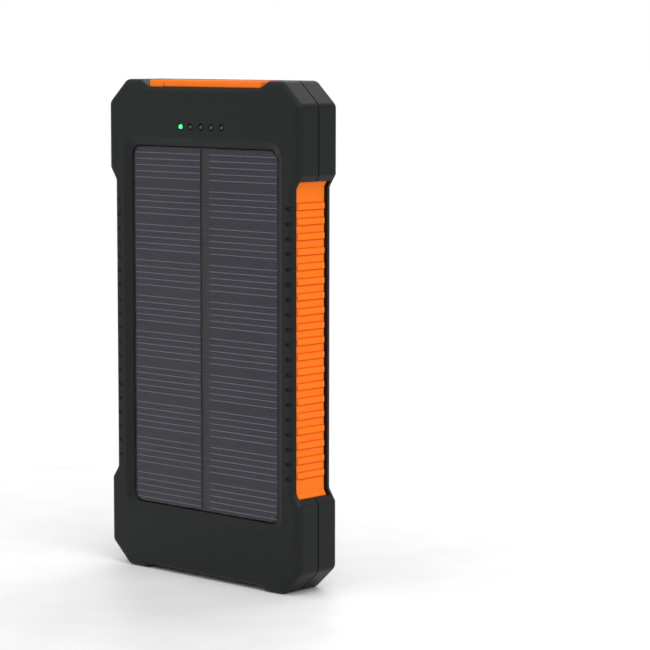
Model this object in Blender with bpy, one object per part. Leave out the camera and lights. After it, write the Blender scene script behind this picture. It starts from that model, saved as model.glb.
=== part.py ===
"""Solar phone charger with side grips, port cover, lamp, lanyard clip, strap, compass and carabiner.

Lengths are written in millimetres times MM, so the scene is in metres. The body stands on its bottom edge:
X runs across the front, Y from the front (solar) face to the back, Z up. Everything is laid out from the
body's middle plane, and one empty moves that plane so that the whole object is centred on the world's Z axis.
"""

import math

import bmesh
import bpy
from mathutils import Matrix, Vector

MM = 0.001

# Body shells
BODY_WIDTH = 75.6 * MM
BODY_HEIGHT = 142 * MM
BODY_DEPTH = 16 * MM
CORNER_X = 7 * MM
CORNER_Z = 6.5 * MM
SIDE_RECESS = 2.3 * MM
SIDE_RAMP_TOP = (112.8 * MM, 116.3 * MM)
SIDE_RAMP_BOTTOM = (28.9 * MM, 25.5 * MM)
FRONT_TOP_RECESS = 1.9 * MM
TOP_RAMP = (22 * MM, 25.5 * MM)
BOTTOM_RECESS = 1 * MM
BOTTOM_RAMP = (22 * MM, 24 * MM)
EDGE_ROUND = 1.8 * MM
WALL = 3.2 * MM
FRONT_WALL = 3.8 * MM
BACK_WALL = 2.2 * MM
PARTING_GAP = 0.3 * MM
GAP = 0.3 * MM
ARC_STEPS = 3

HALF_WIDTH = BODY_WIDTH / 2
FRONT = -BODY_DEPTH / 2
BACK = BODY_DEPTH / 2
FRONT_INNER = FRONT + FRONT_WALL
BACK_INNER = BACK - BACK_WALL
RECESS_X = HALF_WIDTH - SIDE_RECESS
COVER_TOP_Z = BODY_HEIGHT - 0.1 * MM

# Solar panel, at the bottom of a blind pocket whose walls slope out to the front face
PANEL_HALF = 28.9 * MM
PANEL_Z = (19.3 * MM, 123.2 * MM)
PANEL_CORNER = 2.8 * MM
PANEL_SLOPE = (2 * MM, 1.2 * MM)
PANEL_POCKET = 2.75 * MM
BOARD_THICK = 0.5 * MM
CELL_THICK = 0.2 * MM
FILM_THICK = 0.2 * MM
LAMINATE_GAP = 0.15 * MM
CELL_MARGIN = 0.6 * MM
CELL_MIDDLE_GAP = 3.4 * MM
CELL_CORNER = 2 * MM
PANEL_LEAD_SLOT = (4 * MM, 118 * MM, 120.5 * MM)

# Grips in the side recesses
GRIP_Y = (-6.2 * MM, 5.7 * MM)
GRIP_POCKET = 1.8 * MM
GRIP_THICK = 1.3 * MM
GRIP_TOP_DROP = 0.15 * MM
RIB_COUNT = 19
RIB_PITCH = 4.13 * MM
RIB_HEIGHT = 0.5 * MM
RIB_WIDTH = 1.7 * MM
RIB_FIRST_Z = 33.5 * MM
RAMP_REACH = 0.42

# Grip grooves in the long edges
GROOVE_COUNT = 19
GROOVE_PITCH = 4.14 * MM
GROOVE_FIRST_Z = 33.1 * MM
GROOVE_WIDTH = 1.1 * MM
GROOVE_DEPTH = 0.7 * MM
GROOVE_TILT = math.radians(7)
BACK_GROOVE_X = (25 * MM, 39 * MM)
FRONT_GROOVE_X = (32.6 * MM, 39 * MM)

# Port cover in the top edge, and the sockets under it
COVER_HALF = 22 * MM
COVER_Y = (-6.6 * MM, 4.3 * MM)
COVER_THICK = 2 * MM
TAIL_WIDTH = 6 * MM
USB_X = 13 * MM
USB_SHELL = (13.1 * MM, 5.7 * MM, 14 * MM)
USB_WALL = 0.45 * MM
USB_Y = -1.05 * MM
USB_MOUTH_Z = 139.3 * MM
USB_TONGUE = (11 * MM, 1.8 * MM, 9 * MM)
SOCKET_CUT_DEPTH = 8 * MM
MICRO_SHELL = (7.6 * MM, 3 * MM, 5.6 * MM)
MICRO_WALL = 0.35 * MM
MICRO_TONGUE = (5.2 * MM, 0.7 * MM, 3.4 * MM)

# Inside
MAIN_BOARD = (26 * MM, 117.5 * MM, 136.4 * MM)
MAIN_BOARD_Y = (2.1 * MM, 3.1 * MM)
CHIP_HALF = 4.5 * MM
CHIP_Z = (122 * MM, 131 * MM)
CHIP_THICK = 1 * MM
INDUCTOR_PLACE = (14 * MM, 126 * MM)
INDUCTOR_RADIUS = 4.2 * MM
INDUCTOR_HEIGHT = 2 * MM
CELL_PACK_HALF = 30 * MM
CELL_PACK_Z = (36 * MM, 115 * MM)
FRONT_PACK_Y = (-3.9 * MM, 0.25 * MM)
FOAM_Y = (0.55 * MM, 1.05 * MM)
FOAM_MARGIN = (2 * MM, 4 * MM)
BACK_PACK_Y = (1.35 * MM, 5.5 * MM)
LEAD_RADIUS = 0.6 * MM
LEAD_X = (5 * MM, 7.2 * MM)
LEAD_Y = (4 * MM, 4.9 * MM)
LEAD_Z = (115.9 * MM, 120.3 * MM)

# Lamp in the back
LAMP_HALF = 13.3 * MM
LAMP_Z = (13.2 * MM, 31 * MM)
LAMP_CORNER = 2.4 * MM
LAMP_FLANGE = 1.2 * MM
LAMP_BOARD_Y = (1.6 * MM, 2.6 * MM)
LAMP_BOARD_HALF = 13 * MM
LAMP_BOARD_Z = (6.3 * MM, 31.8 * MM)
LED_SIZE = (3.5 * MM, 1 * MM, 2.8 * MM)
LED_COLUMNS = (-7.5 * MM, 0, 7.5 * MM)
LED_ROWS = (18 * MM, 26.2 * MM)

# Indicator lights, label outline, screws and power button
INDICATOR_COUNT = 5
INDICATOR_FIRST_X = -8.25 * MM
INDICATOR_PITCH = 4.1 * MM
INDICATOR_Z = 128.8 * MM
INDICATOR_RADIUS = 0.6 * MM
LABEL_HALF = 16 * MM
LABEL_Z = (41 * MM, 112.2 * MM)
LABEL_CORNER = 4.5 * MM
LABEL_GROOVE = (0.5 * MM, 0.4 * MM)
SCREW_X = 31 * MM
SCREW_Z = (9.6 * MM, 133.6 * MM)
COUNTERBORE_RADIUS = 2.05 * MM
COUNTERBORE_FLOOR = 3.9 * MM
SCREW_HEAD_RADIUS = 1.75 * MM
SCREW_HEAD = 1.4 * MM
SCREW_RADIUS = 0.85 * MM
SCREW_TIP = -3.5 * MM
HOLE_RADIUS = 1.15 * MM
BOSS_RADIUS = 2.6 * MM
BACK_BOSS_RADIUS = 2.9 * MM
BOSS_SPLIT = 2.4 * MM
BUTTON_HALF = (5 * MM, 2 * MM)
BUTTON_Z = (0.45 * MM, 4.5 * MM)
BUTTON_FLANGE = (1 * MM, 0.7 * MM)
BUTTON_TRAVEL = 0.6 * MM
SWITCH_HALF = 3 * MM
SWITCH_Y = (-1.7 * MM, 1.3 * MM)
SWITCH_HEIGHT = 3.4 * MM

# Lanyard clip on the back. Its side profile (y, z) has a root, a straight tongue, a nub and a flared end
CLIP_HALF = 5.3 * MM
CLIP_ROOT_Y = 7 * MM
CLIP_OUTER_Y = 12.2 * MM
CLIP_INNER_Y = 10.2 * MM
CLIP_PROFILE = [
    (CLIP_ROOT_Y, 138.8 * MM),
    (10.6 * MM, 138.2 * MM),
    (11.8 * MM, 137.2 * MM),
    (CLIP_OUTER_Y, 135.8 * MM),
    (CLIP_OUTER_Y, 117.2 * MM),
    (13.6 * MM, 113.5 * MM),
    (13.1 * MM, 112.9 * MM),
    (12 * MM, 113.2 * MM),
    (9.3 * MM, 114.6 * MM),
    (9 * MM, 115.4 * MM),
    (9.4 * MM, 116.2 * MM),
    (CLIP_INNER_Y, 117 * MM),
    (CLIP_INNER_Y, 133.2 * MM),
    (9.6 * MM, 134.8 * MM),
    (8.4 * MM, 135.5 * MM),
    (CLIP_ROOT_Y, 135.5 * MM),
]
SCOOP_DEPTH = 1.3 * MM
SCOOP_HALF = 11 * MM
SCOOP_FADE = 0.3 * MM
SCOOP_Z = (112.9 * MM, 116 * MM, 136.5 * MM, 139.4 * MM)

# Split ring, strap and compass, hanging from the clip
RING_RADIUS = 10.1 * MM
RING_SECTION = (1.6 * MM, 2.2 * MM)
RING_SEAT = (0.8 * MM, 1.62 * MM)
RING_AXIS = (8.45 * MM, 119.5 * MM)
STRAP_Y = 12.7 * MM
RING_TILT = math.asin((STRAP_Y - RING_AXIS[0]) / (2 * RING_RADIUS))
STRAP_TOP_Z = RING_AXIS[1] - 2 * RING_RADIUS * math.cos(RING_TILT)
STRAP_LENGTH = 49 * MM
STRAP_WIDTH = 17 * MM
STRAP_LOOP_WIDTH = 10 * MM
STRAP_THICK = 2.6 * MM
WEBBING_THICK = 1.2 * MM
STRAP_FLARE = 0.2 * MM
STRAP_TAPER_TOP = (4.2 * MM, 8 * MM)
STRAP_TAPER_LOW = (3.4 * MM, 9 * MM)
TOP_EYE = 2.85 * MM
LOW_EYE = 1.95 * MM
SLIDER_HALF = (11 * MM, 10.5 * MM)
SLIDER_DROP = 18.8 * MM
SLIDER_CHANNEL = (9 * MM, 1.6 * MM)
SLIDER_CORNERS = (2.5 * MM, 0.8 * MM, 1 * MM)
SLIDER_BACK = 1.2 * MM
SLIDER_FRONT = 1.6 * MM
CASE_RADIUS = 8.9 * MM
CASE_FLOOR = 0.7 * MM
CASE_WALL = 0.5 * MM
CASE_HEIGHT = 2 * MM
DOME_RADIUS = 8.1 * MM
DOME_WALL = 0.6 * MM
DOME_SHOULDER = 3.9 * MM
DOME_RISE = 1.4 * MM
CARD_RADIUS = 7 * MM
CARD_Y = 2.1 * MM

# Carabiner
WIRE_RADIUS = 1.6 * MM
BAR_HALF = 5.5 * MM
CARABINER_HALF = 10.5 * MM
CARABINER_DROP = 27 * MM
PIN_DROP = 9 * MM
NOSE_RISE = 1.2 * MM
TONGUE_THICK = 1 * MM
TONGUE_HALF = 1.15 * MM
PIN_RADIUS = 0.45 * MM
SPRING_COIL = 0.55 * MM
SPRING_WIRE = 0.14 * MM
SPRING_TURNS = 6
SPRING_Z = (-10.6 * MM, -3.2 * MM)
SPRING_BORE = 0.95 * MM
HINGE_OVERLAP = 2.4 * MM
GATE_SLOT_FOOT = -2.2 * MM
PIN_CLEARANCE = 0.2 * MM

BACKMOST = STRAP_Y + SLIDER_CHANNEL[1] + SLIDER_FRONT + GAP + DOME_SHOULDER + DOME_RISE
BODY_MID_Y = -(BACKMOST + FRONT) / 2


def clear_scene():
    for obj in list(bpy.data.objects):
        bpy.data.objects.remove(obj, do_unlink=True)


def make_material(name, color, roughness, metallic=0.0, alpha=1.0, emission=0.0):
    mat = bpy.data.materials.new(name)
    mat.use_nodes = True
    shader = mat.node_tree.nodes["Principled BSDF"]
    shader.inputs["Base Color"].default_value = (*color, 1)
    shader.inputs["Roughness"].default_value = roughness
    shader.inputs["Metallic"].default_value = metallic
    shader.inputs["Alpha"].default_value = alpha
    shader.inputs["Emission Color"].default_value = (*color, 1)
    shader.inputs["Emission Strength"].default_value = emission
    mat.diffuse_color = (*color, alpha)
    return mat


def new_empty(name, location=(0, 0, 0), parent=None):
    empty = bpy.data.objects.new(name, None)
    empty.location = location
    empty.parent = parent
    bpy.context.scene.collection.objects.link(empty)
    return empty


def new_object(name, bm, mat, parent, location=(0, 0, 0), smooth_angle=None):
    """Makes one sub-part from a bmesh, whose points are relative to the object's own origin."""
    bmesh.ops.recalc_face_normals(bm, faces=bm.faces)
    mesh = bpy.data.meshes.new(name)
    bm.to_mesh(mesh)
    bm.free()
    obj = bpy.data.objects.new(name, mesh)
    obj.location = location
    obj.parent = parent
    if mat:
        mesh.materials.append(mat)
    bpy.context.scene.collection.objects.link(obj)
    if smooth_angle:
        mesh.shade_smooth()
        mesh.set_sharp_from_angle(angle=math.radians(smooth_angle))
    return obj


def helper(name, bm, parent, location=(0, 0, 0)):
    """Makes a hidden shape for a Boolean."""
    obj = new_object(name, bm, None, parent, location)
    obj.hide_render = True
    obj.display_type = "WIRE"
    return obj


def boolean(target, tool, operation):
    modifier = target.modifiers.new(tool.name, "BOOLEAN")
    modifier.operation = operation
    modifier.object = tool
    modifier.solver = "EXACT"


def bevel(obj, width, segments=2, angle=40):
    modifier = obj.modifiers.new("edges", "BEVEL")
    modifier.width = width
    modifier.segments = segments
    modifier.limit_method = "ANGLE"
    modifier.angle_limit = math.radians(angle)
    modifier.use_clamp_overlap = True


def loft(loops, ring=False):
    """Joins loops with the same number of points by quads. Ends get caps, unless the last joins the first."""
    bm = bmesh.new()
    rows = [[bm.verts.new(point) for point in loop] for loop in loops]
    pairs = list(zip(rows, rows[1:]))
    if ring:
        pairs.append((rows[-1], rows[0]))
    count = len(rows[0])
    for low, high in pairs:
        for i in range(count):
            j = (i + 1) % count
            bm.faces.new((low[i], low[j], high[j], high[i]))
    if not ring:
        bm.faces.new(rows[0][::-1])
        bm.faces.new(rows[-1])
    return bm


def add_box(bm, low, high, matrix=None):
    """Adds a box between two corners, turned about its middle by a matrix."""
    low = Vector(low)
    high = Vector(high)
    size = high - low
    place = Matrix.Translation((low + high) / 2)
    turn = matrix or Matrix.Identity(4)
    scale = Matrix.Diagonal((size.x, size.y, size.z, 1))
    bmesh.ops.create_cube(bm, size=1, matrix=place @ turn @ scale)


def box(low, high):
    bm = bmesh.new()
    add_box(bm, low, high)
    return bm


def turned(profile, steps, axis="Y"):
    """Turns (radius, height) points about an axis. A profile that starts and ends at radius 0 is closed."""
    bm = bmesh.new()

    def place(radius, height, angle):
        a = radius * math.cos(angle)
        b = radius * math.sin(angle)
        return {"X": (height, a, b), "Y": (a, height, b), "Z": (a, b, height)}[axis]

    rows = []
    for radius, height in profile:
        ring_steps = steps if radius > 0 else 1
        row = [bm.verts.new(place(radius, height, 2 * math.pi * i / steps)) for i in range(ring_steps)]
        rows.append(row)
    pairs = list(zip(rows, rows[1:]))
    if len(rows[0]) > 1:
        pairs.append((rows[-1], rows[0]))
    for low, high in pairs:
        for i in range(steps):
            j = (i + 1) % steps
            corners = [low[i % len(low)], low[j % len(low)]]
            corners += [high[j % len(high)], high[i % len(high)]]
            bm.faces.new(list(dict.fromkeys(corners)))
    return bm


def cylinder(radius, low, high, steps=20, axis="Y", chamfer=0.0):
    """A round bar with chamfered ends."""
    inner = radius - chamfer
    profile = [(0, low), (inner, low)]
    if chamfer:
        profile += [(radius, low + chamfer), (radius, high - chamfer)]
    profile += [(inner, high), (0, high)]
    return turned(profile, steps, axis)


def offset_corner(before, corner, after, distance):
    """Moves a corner to the left of its path by a distance, keeping both sides parallel."""
    first = (corner - before).normalized()
    second = (after - corner).normalized()
    normal_a = Vector((-first.y, first.x))
    normal_b = Vector((-second.y, second.x))
    middle = (normal_a + normal_b).normalized()
    return corner + middle * (distance / middle.dot(normal_a))


def offset_outline(points, distance):
    """Insets a closed counter-clockwise outline by a distance."""
    flat = [Vector(point) for point in points]
    count = len(flat)
    return [offset_corner(flat[i - 1], flat[i], flat[(i + 1) % count], distance) for i in range(count)]


def offset_path(points, distance):
    """Moves an open path to its left by a distance."""
    flat = [Vector(point) for point in points]
    before = [2 * flat[0] - flat[1], *flat[:-1]]
    after = [*flat[1:], 2 * flat[-1] - flat[-2]]
    return [offset_corner(a, b, c, distance) for a, b, c in zip(before, flat, after)]


def at_depth(outline, y):
    return [(point[0], y, point[1]) for point in outline]


def mirrored(outline):
    """Completes the right half of an outline, given bottom to top, with its left half."""
    return outline + [(-x, z) for x, z in reversed(outline)]


def rounded_rectangle(half, z_low, z_high, radius, steps=4):
    """A counter-clockwise outline in X and Z with round corners."""
    corners = (
        (half - radius, z_low + radius, -90),
        (half - radius, z_high - radius, 0),
        (-half + radius, z_high - radius, 90),
        (-half + radius, z_low + radius, 180),
    )
    outline = []
    for x, z, start in corners:
        for i in range(steps + 1):
            angle = math.radians(start + 90 * i / steps)
            outline.append((x + radius * math.cos(angle), z + radius * math.sin(angle)))
    return outline


def body_outline(top_recess):
    """The body seen from the front. The front shell's top edge dips between ramps, the rear one's is flat."""
    half = [
        (BOTTOM_RAMP[0], BOTTOM_RECESS),
        (BOTTOM_RAMP[1], 0),
        (HALF_WIDTH - CORNER_X, 0),
        (HALF_WIDTH, CORNER_Z),
        (HALF_WIDTH, SIDE_RAMP_BOTTOM[1]),
        (RECESS_X, SIDE_RAMP_BOTTOM[0]),
        (RECESS_X, SIDE_RAMP_TOP[0]),
        (HALF_WIDTH, SIDE_RAMP_TOP[1]),
        (HALF_WIDTH, BODY_HEIGHT - CORNER_Z),
        (HALF_WIDTH - CORNER_X, BODY_HEIGHT),
        (TOP_RAMP[1], BODY_HEIGHT),
        (TOP_RAMP[0], BODY_HEIGHT - top_recess),
    ]
    return mirrored(half)


def shell_tray(face_y, inner_y, parting_y, top_recess):
    """A tray with a rounded outer edge, open towards the parting plane."""
    outline = body_outline(top_recess)
    inward = 1 if parting_y > face_y else -1
    loops = []
    for i in range(ARC_STEPS + 1):
        angle = math.pi / 2 * i / ARC_STEPS
        inset = EDGE_ROUND * (1 - math.sin(angle))
        y = face_y + inward * EDGE_ROUND * (1 - math.cos(angle))
        loops.append(at_depth(offset_outline(outline, inset), y))
    loops.append(at_depth(outline, parting_y))
    inner = offset_outline(outline, WALL)
    loops.append(at_depth(inner, parting_y))
    loops.append(at_depth(inner, inner_y))
    return loft(loops)


def side_path(side, reach):
    """The side recess's floor and part of both ramps, bottom to top, on the right or left side."""
    span = SIDE_RECESS * reach
    low_z = SIDE_RAMP_BOTTOM[0] + (SIDE_RAMP_BOTTOM[1] - SIDE_RAMP_BOTTOM[0]) * reach
    high_z = SIDE_RAMP_TOP[0] + (SIDE_RAMP_TOP[1] - SIDE_RAMP_TOP[0]) * reach
    path = [(RECESS_X + span, low_z), (RECESS_X, SIDE_RAMP_BOTTOM[0]), (RECESS_X, SIDE_RAMP_TOP[0])]
    path.append((RECESS_X + span, high_z))
    return [(side * x, z) for x, z in path]


def side_slab(side, reach, outer_drop, inner_drop, y_range):
    """The solid between two surfaces parallel to the side recess."""
    path = side_path(side, reach)
    outer = offset_path(path, side * outer_drop)
    inner = offset_path(path, side * inner_drop)
    outline = outer + inner[::-1]
    return loft([at_depth(outline, y_range[0]), at_depth(outline, y_range[1])])


def ribbed_grip(side):
    """The grip's profile, with a raised band for each rib, pushed through the body's depth."""
    path = side_path(side, RAMP_REACH)
    base = offset_path(path, side * (GRIP_TOP_DROP + RIB_HEIGHT))
    inner = offset_path(path, side * (GRIP_TOP_DROP + GRIP_THICK + GAP))
    top_x = side * (RECESS_X - GRIP_TOP_DROP)
    base_x = side * (RECESS_X - GRIP_TOP_DROP - RIB_HEIGHT)
    slope = RIB_WIDTH * 0.18
    outline = [base[0], base[1]]
    for i in range(RIB_COUNT):
        low = RIB_FIRST_Z + i * RIB_PITCH - RIB_WIDTH / 2
        high = low + RIB_WIDTH
        outline += [(base_x, low), (top_x, low + slope), (top_x, high - slope), (base_x, high)]
    outline += [base[2], base[3]]
    outline += inner[::-1]
    return loft([at_depth(outline, GRIP_Y[0]), at_depth(outline, GRIP_Y[1])])


def groove_row(side, x_range, face_y, z_shift=0.0):
    """A row of tilted cutters across a long edge."""
    bm = bmesh.new()
    y_low = face_y - GROOVE_DEPTH
    y_high = face_y + GROOVE_DEPTH
    turn = Matrix.Rotation(-side * GROOVE_TILT, 4, "Y")
    for i in range(GROOVE_COUNT):
        z = GROOVE_FIRST_Z + i * GROOVE_PITCH + z_shift
        low_x, high_x = sorted((side * x_range[0], side * x_range[1]))
        add_box(bm, (low_x, y_low, z - GROOVE_WIDTH / 2), (high_x, y_high, z + GROOVE_WIDTH / 2), turn)
    return bm


def label_cutter():
    width, depth = LABEL_GROOVE
    outline = rounded_rectangle(LABEL_HALF, *LABEL_Z, LABEL_CORNER)
    inner = offset_outline(outline, width)
    low = BACK - depth
    high = BACK + depth
    return loft(
        [at_depth(outline, low), at_depth(outline, high), at_depth(inner, high), at_depth(inner, low)],
        ring=True,
    )


def scoop_cutter():
    """A shallow dish under the lanyard clip that runs out at both ends."""
    loops = []
    steps = 8
    for z, depth in zip(SCOOP_Z, (-SCOOP_FADE, SCOOP_DEPTH, SCOOP_DEPTH, -SCOOP_FADE)):
        loop = []
        for i in range(steps + 1):
            share = 2 * i / steps - 1
            y = BACK - depth * (1 - share * share) + 0.2 * MM * share * share
            loop.append((SCOOP_HALF * share, y, z))
        loop += [(SCOOP_HALF, BACK + 3 * MM, z), (-SCOOP_HALF, BACK + 3 * MM, z)]
        loops.append(loop)
    return loft(loops)


def ring_seat_cutter():
    """The space that the split ring sweeps under the clip, widest at the clip's edges."""
    steps = 6
    margin, radius = RING_SEAT
    reach = CLIP_HALF + margin
    profile = [(0, -reach)]
    for i in range(steps + 1):
        x = reach * (2 * i / steps - 1)
        rise = RING_RADIUS - math.sqrt(RING_RADIUS**2 - x**2)
        profile.append((radius + rise, x))
    profile.append((0, reach))
    return turned(profile, 20, "X")


def rear_shell_clip(root, rear):
    loops = [[(x, y, z) for y, z in CLIP_PROFILE] for x in (-CLIP_HALF, CLIP_HALF)]
    clip = helper("clip_tongue", loft(loops), root)
    bevel(clip, 0.5 * MM, 1, 50)
    seat = helper("ring_seat_cut", ring_seat_cutter(), root, (0, *RING_AXIS))
    boolean(clip, seat, "DIFFERENCE")
    boolean(rear, clip, "UNION")


def cover_pocket():
    y_low = COVER_Y[0] - GAP
    y_high = COVER_Y[1] + GAP
    floor = COVER_TOP_Z - COVER_THICK - GAP
    half = COVER_HALF + GAP
    return box((-half, y_low, floor), (half, y_high, BODY_HEIGHT + 1 * MM))


def socket_cutters():
    """Openings in the top wall for the three sockets."""
    bm = bmesh.new()
    sizes = [(-USB_X, USB_SHELL), (USB_X, USB_SHELL), (0, MICRO_SHELL)]
    for x, (wide, deep, _) in sizes:
        half_x = wide / 2 + GAP
        half_y = deep / 2 + GAP
        low = (x - half_x, USB_Y - half_y, USB_MOUTH_Z - SOCKET_CUT_DEPTH)
        add_box(bm, low, (x + half_x, USB_Y + half_y, BODY_HEIGHT))
    return bm


def button_cutter():
    half_x = BUTTON_HALF[0] + GAP
    half_y = BUTTON_HALF[1] + GAP
    return box((-half_x, -half_y, -1 * MM), (half_x, half_y, BUTTON_Z[1] + 0.5 * MM))


def cut_both(front, rear, name, bm, root):
    cutter = helper(name, bm, root)
    boolean(front, cutter, "DIFFERENCE")
    boolean(rear, cutter, "DIFFERENCE")


def screw_places():
    return [(side * SCREW_X, z) for z in reversed(SCREW_Z) for side in (-1, 1)]


def panel_cutter():
    """The panel's pocket: sloping walls from the front face down to the panel's edge, then straight ones."""
    reach, depth = PANEL_SLOPE
    edge = rounded_rectangle(PANEL_HALF, *PANEL_Z, PANEL_CORNER)
    mouth = offset_outline(edge, -reach)
    loops = [at_depth(mouth, FRONT - 1 * MM), at_depth(mouth, FRONT)]
    loops += [at_depth(edge, FRONT + depth), at_depth(edge, FRONT + PANEL_POCKET)]
    return loft(loops)


def build_shells(root, mats):
    tray = shell_tray(FRONT, FRONT_INNER, -PARTING_GAP / 2, FRONT_TOP_RECESS)
    front = new_object("front_shell", tray, mats["black_shell"], root)
    tray = shell_tray(BACK, BACK_INNER, PARTING_GAP / 2, 0)
    rear = new_object("rear_shell", tray, mats["black_shell"], root)
    overlap = 0.8 * MM
    for index, (x, z) in enumerate(screw_places(), 1):
        post = cylinder(BOSS_RADIUS, FRONT_INNER - overlap, BOSS_SPLIT - PARTING_GAP, 16)
        boolean(front, helper(f"front_boss_{index}", post, root, (x, 0, z)), "UNION")
        post = cylinder(BACK_BOSS_RADIUS, BOSS_SPLIT, BACK_INNER + overlap, 16)
        boolean(rear, helper(f"back_boss_{index}", post, root, (x, 0, z)), "UNION")
        bore = cylinder(HOLE_RADIUS, SCREW_TIP - 0.8 * MM, BACK, 14)
        cutter = helper(f"screw_bore_{index}", bore, root, (x, 0, z))
        boolean(front, cutter, "DIFFERENCE")
        boolean(rear, cutter, "DIFFERENCE")
        bore = cylinder(COUNTERBORE_RADIUS, COUNTERBORE_FLOOR, BACK + 1 * MM, 20)
        boolean(rear, helper(f"counterbore_{index}", bore, root, (x, 0, z)), "DIFFERENCE")

    boolean(front, helper("panel_pocket", panel_cutter(), root), "DIFFERENCE")
    half, low, high = PANEL_LEAD_SLOT
    slot = box((-half, FRONT, low), (half, FRONT_INNER + 1 * MM, high))
    boolean(front, helper("panel_lead_slot", slot, root), "DIFFERENCE")
    holes = bmesh.new()
    for i in range(INDICATOR_COUNT):
        x = INDICATOR_FIRST_X + i * INDICATOR_PITCH
        hole = cylinder(INDICATOR_RADIUS + GAP, FRONT - 1 * MM, FRONT_INNER + 1 * MM, 12)
        hole.transform(Matrix.Translation((x, 0, INDICATOR_Z)))
        mesh = bpy.data.meshes.new("indicator_hole")
        hole.to_mesh(mesh)
        hole.free()
        holes.from_mesh(mesh)
    boolean(front, helper("indicator_holes", holes, root), "DIFFERENCE")

    window = rounded_rectangle(LAMP_HALF + GAP, LAMP_Z[0] - GAP, LAMP_Z[1] + GAP, LAMP_CORNER)
    cutter = loft([at_depth(window, BACK_INNER - 1 * MM), at_depth(window, BACK + 1 * MM)])
    boolean(rear, helper("lamp_window", cutter, root), "DIFFERENCE")
    boolean(rear, helper("label_groove", label_cutter(), root), "DIFFERENCE")
    boolean(rear, helper("clip_scoop", scoop_cutter(), root), "DIFFERENCE")

    for side, word in ((-1, "left"), (1, "right")):
        pocket = side_slab(
            side, RAMP_REACH + 0.12, -1.5 * MM, GRIP_POCKET, (GRIP_Y[0] - GAP, GRIP_Y[1] + GAP)
        )
        cut_both(front, rear, f"grip_pocket_{word}", pocket, root)
        grooves = groove_row(side, FRONT_GROOVE_X, FRONT)
        boolean(front, helper(f"front_grooves_{word}", grooves, root), "DIFFERENCE")
        grooves = groove_row(side, BACK_GROOVE_X, BACK)
        boolean(rear, helper(f"back_grooves_{word}", grooves, root), "DIFFERENCE")
    cut_both(front, rear, "cover_pocket", cover_pocket(), root)
    cut_both(front, rear, "sockets", socket_cutters(), root)
    cut_both(front, rear, "button_hole", button_cutter(), root)
    rear_shell_clip(root, rear)


def build_panel(root, mats):
    def plate(name, outline, y, thick, mat):
        new_object(name, loft([at_depth(outline, y), at_depth(outline, y + thick)]), mat, root)

    inner = rounded_rectangle(PANEL_HALF - GAP, PANEL_Z[0] + GAP, PANEL_Z[1] - GAP, PANEL_CORNER - GAP)
    board_y = FRONT + PANEL_POCKET - GAP - BOARD_THICK
    cell_y = board_y - LAMINATE_GAP - CELL_THICK
    film_y = cell_y - LAMINATE_GAP - FILM_THICK
    plate("panel_board", inner, board_y, BOARD_THICK, mats["panel_black"])
    plate("panel_film", inner, film_y, FILM_THICK, mats["clear"])
    low = PANEL_Z[0] + CELL_MARGIN
    high = PANEL_Z[1] - CELL_MARGIN
    near = CELL_MIDDLE_GAP / 2
    far = PANEL_HALF - CELL_MARGIN
    cut = CELL_CORNER
    right = [(near, low), (far - cut, low), (far, low + cut)]
    right += [(far, high - cut), (far - cut, high), (near, high)]
    for side, word in ((-1, "left"), (1, "right")):
        outline = [(side * x, z) for x, z in right]
        plate(f"solar_cells_{word}", outline, cell_y, CELL_THICK, mats["solar_cell"])


def build_grips(root, mats):
    for side, word in ((-1, "left"), (1, "right")):
        new_object(f"side_grip_{word}", ribbed_grip(side), mats["orange_rubber"], root)


def build_cover(root, mats):
    """The port cover turns about its left end's top edge, where a tail holds it to the body."""
    top = COVER_TOP_Z
    hinge_x = -COVER_HALF + TAIL_WIDTH
    pivot = new_empty("port_cover_hinge", (hinge_x, 0, top), root)
    length = COVER_HALF - hinge_x
    chamfer = 0.5 * MM
    outline = [
        (0, -COVER_THICK + 0.4 * MM),
        (0.4 * MM, -COVER_THICK),
        (length - chamfer, -COVER_THICK),
        (length, -COVER_THICK + chamfer),
        (length, -chamfer),
        (length - chamfer, 0),
        (0, 0),
    ]
    cover = loft([at_depth(outline, COVER_Y[0]), at_depth(outline, COVER_Y[1])])
    obj = new_object("port_cover", cover, mats["orange_rubber"], pivot)
    bevel(obj, 0.25 * MM, 1, 60)
    tail = [
        (-COVER_HALF, top - COVER_THICK),
        (hinge_x - GAP, top - COVER_THICK),
        (hinge_x - GAP, top),
        (-COVER_HALF, top),
    ]
    solid = loft([at_depth(tail, COVER_Y[0]), at_depth(tail, COVER_Y[1])])
    obj = new_object("port_cover_tail", solid, mats["orange_rubber"], root)
    bevel(obj, 0.25 * MM, 1, 60)


def socket_shell(wide, deep, tall, wall):
    """A folded metal can, open at the top."""
    half_x = wide / 2
    half_y = deep / 2
    outer = [(-half_x, -half_y), (half_x, -half_y), (half_x, half_y), (-half_x, half_y)]
    inner = offset_outline(outer, wall)
    loops = [
        [(x, y, -tall) for x, y in outer],
        [(x, y, 0) for x, y in outer],
        [(x, y, 0) for x, y in inner],
        [(x, y, -tall + wall) for x, y in inner],
    ]
    return loft(loops)


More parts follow.
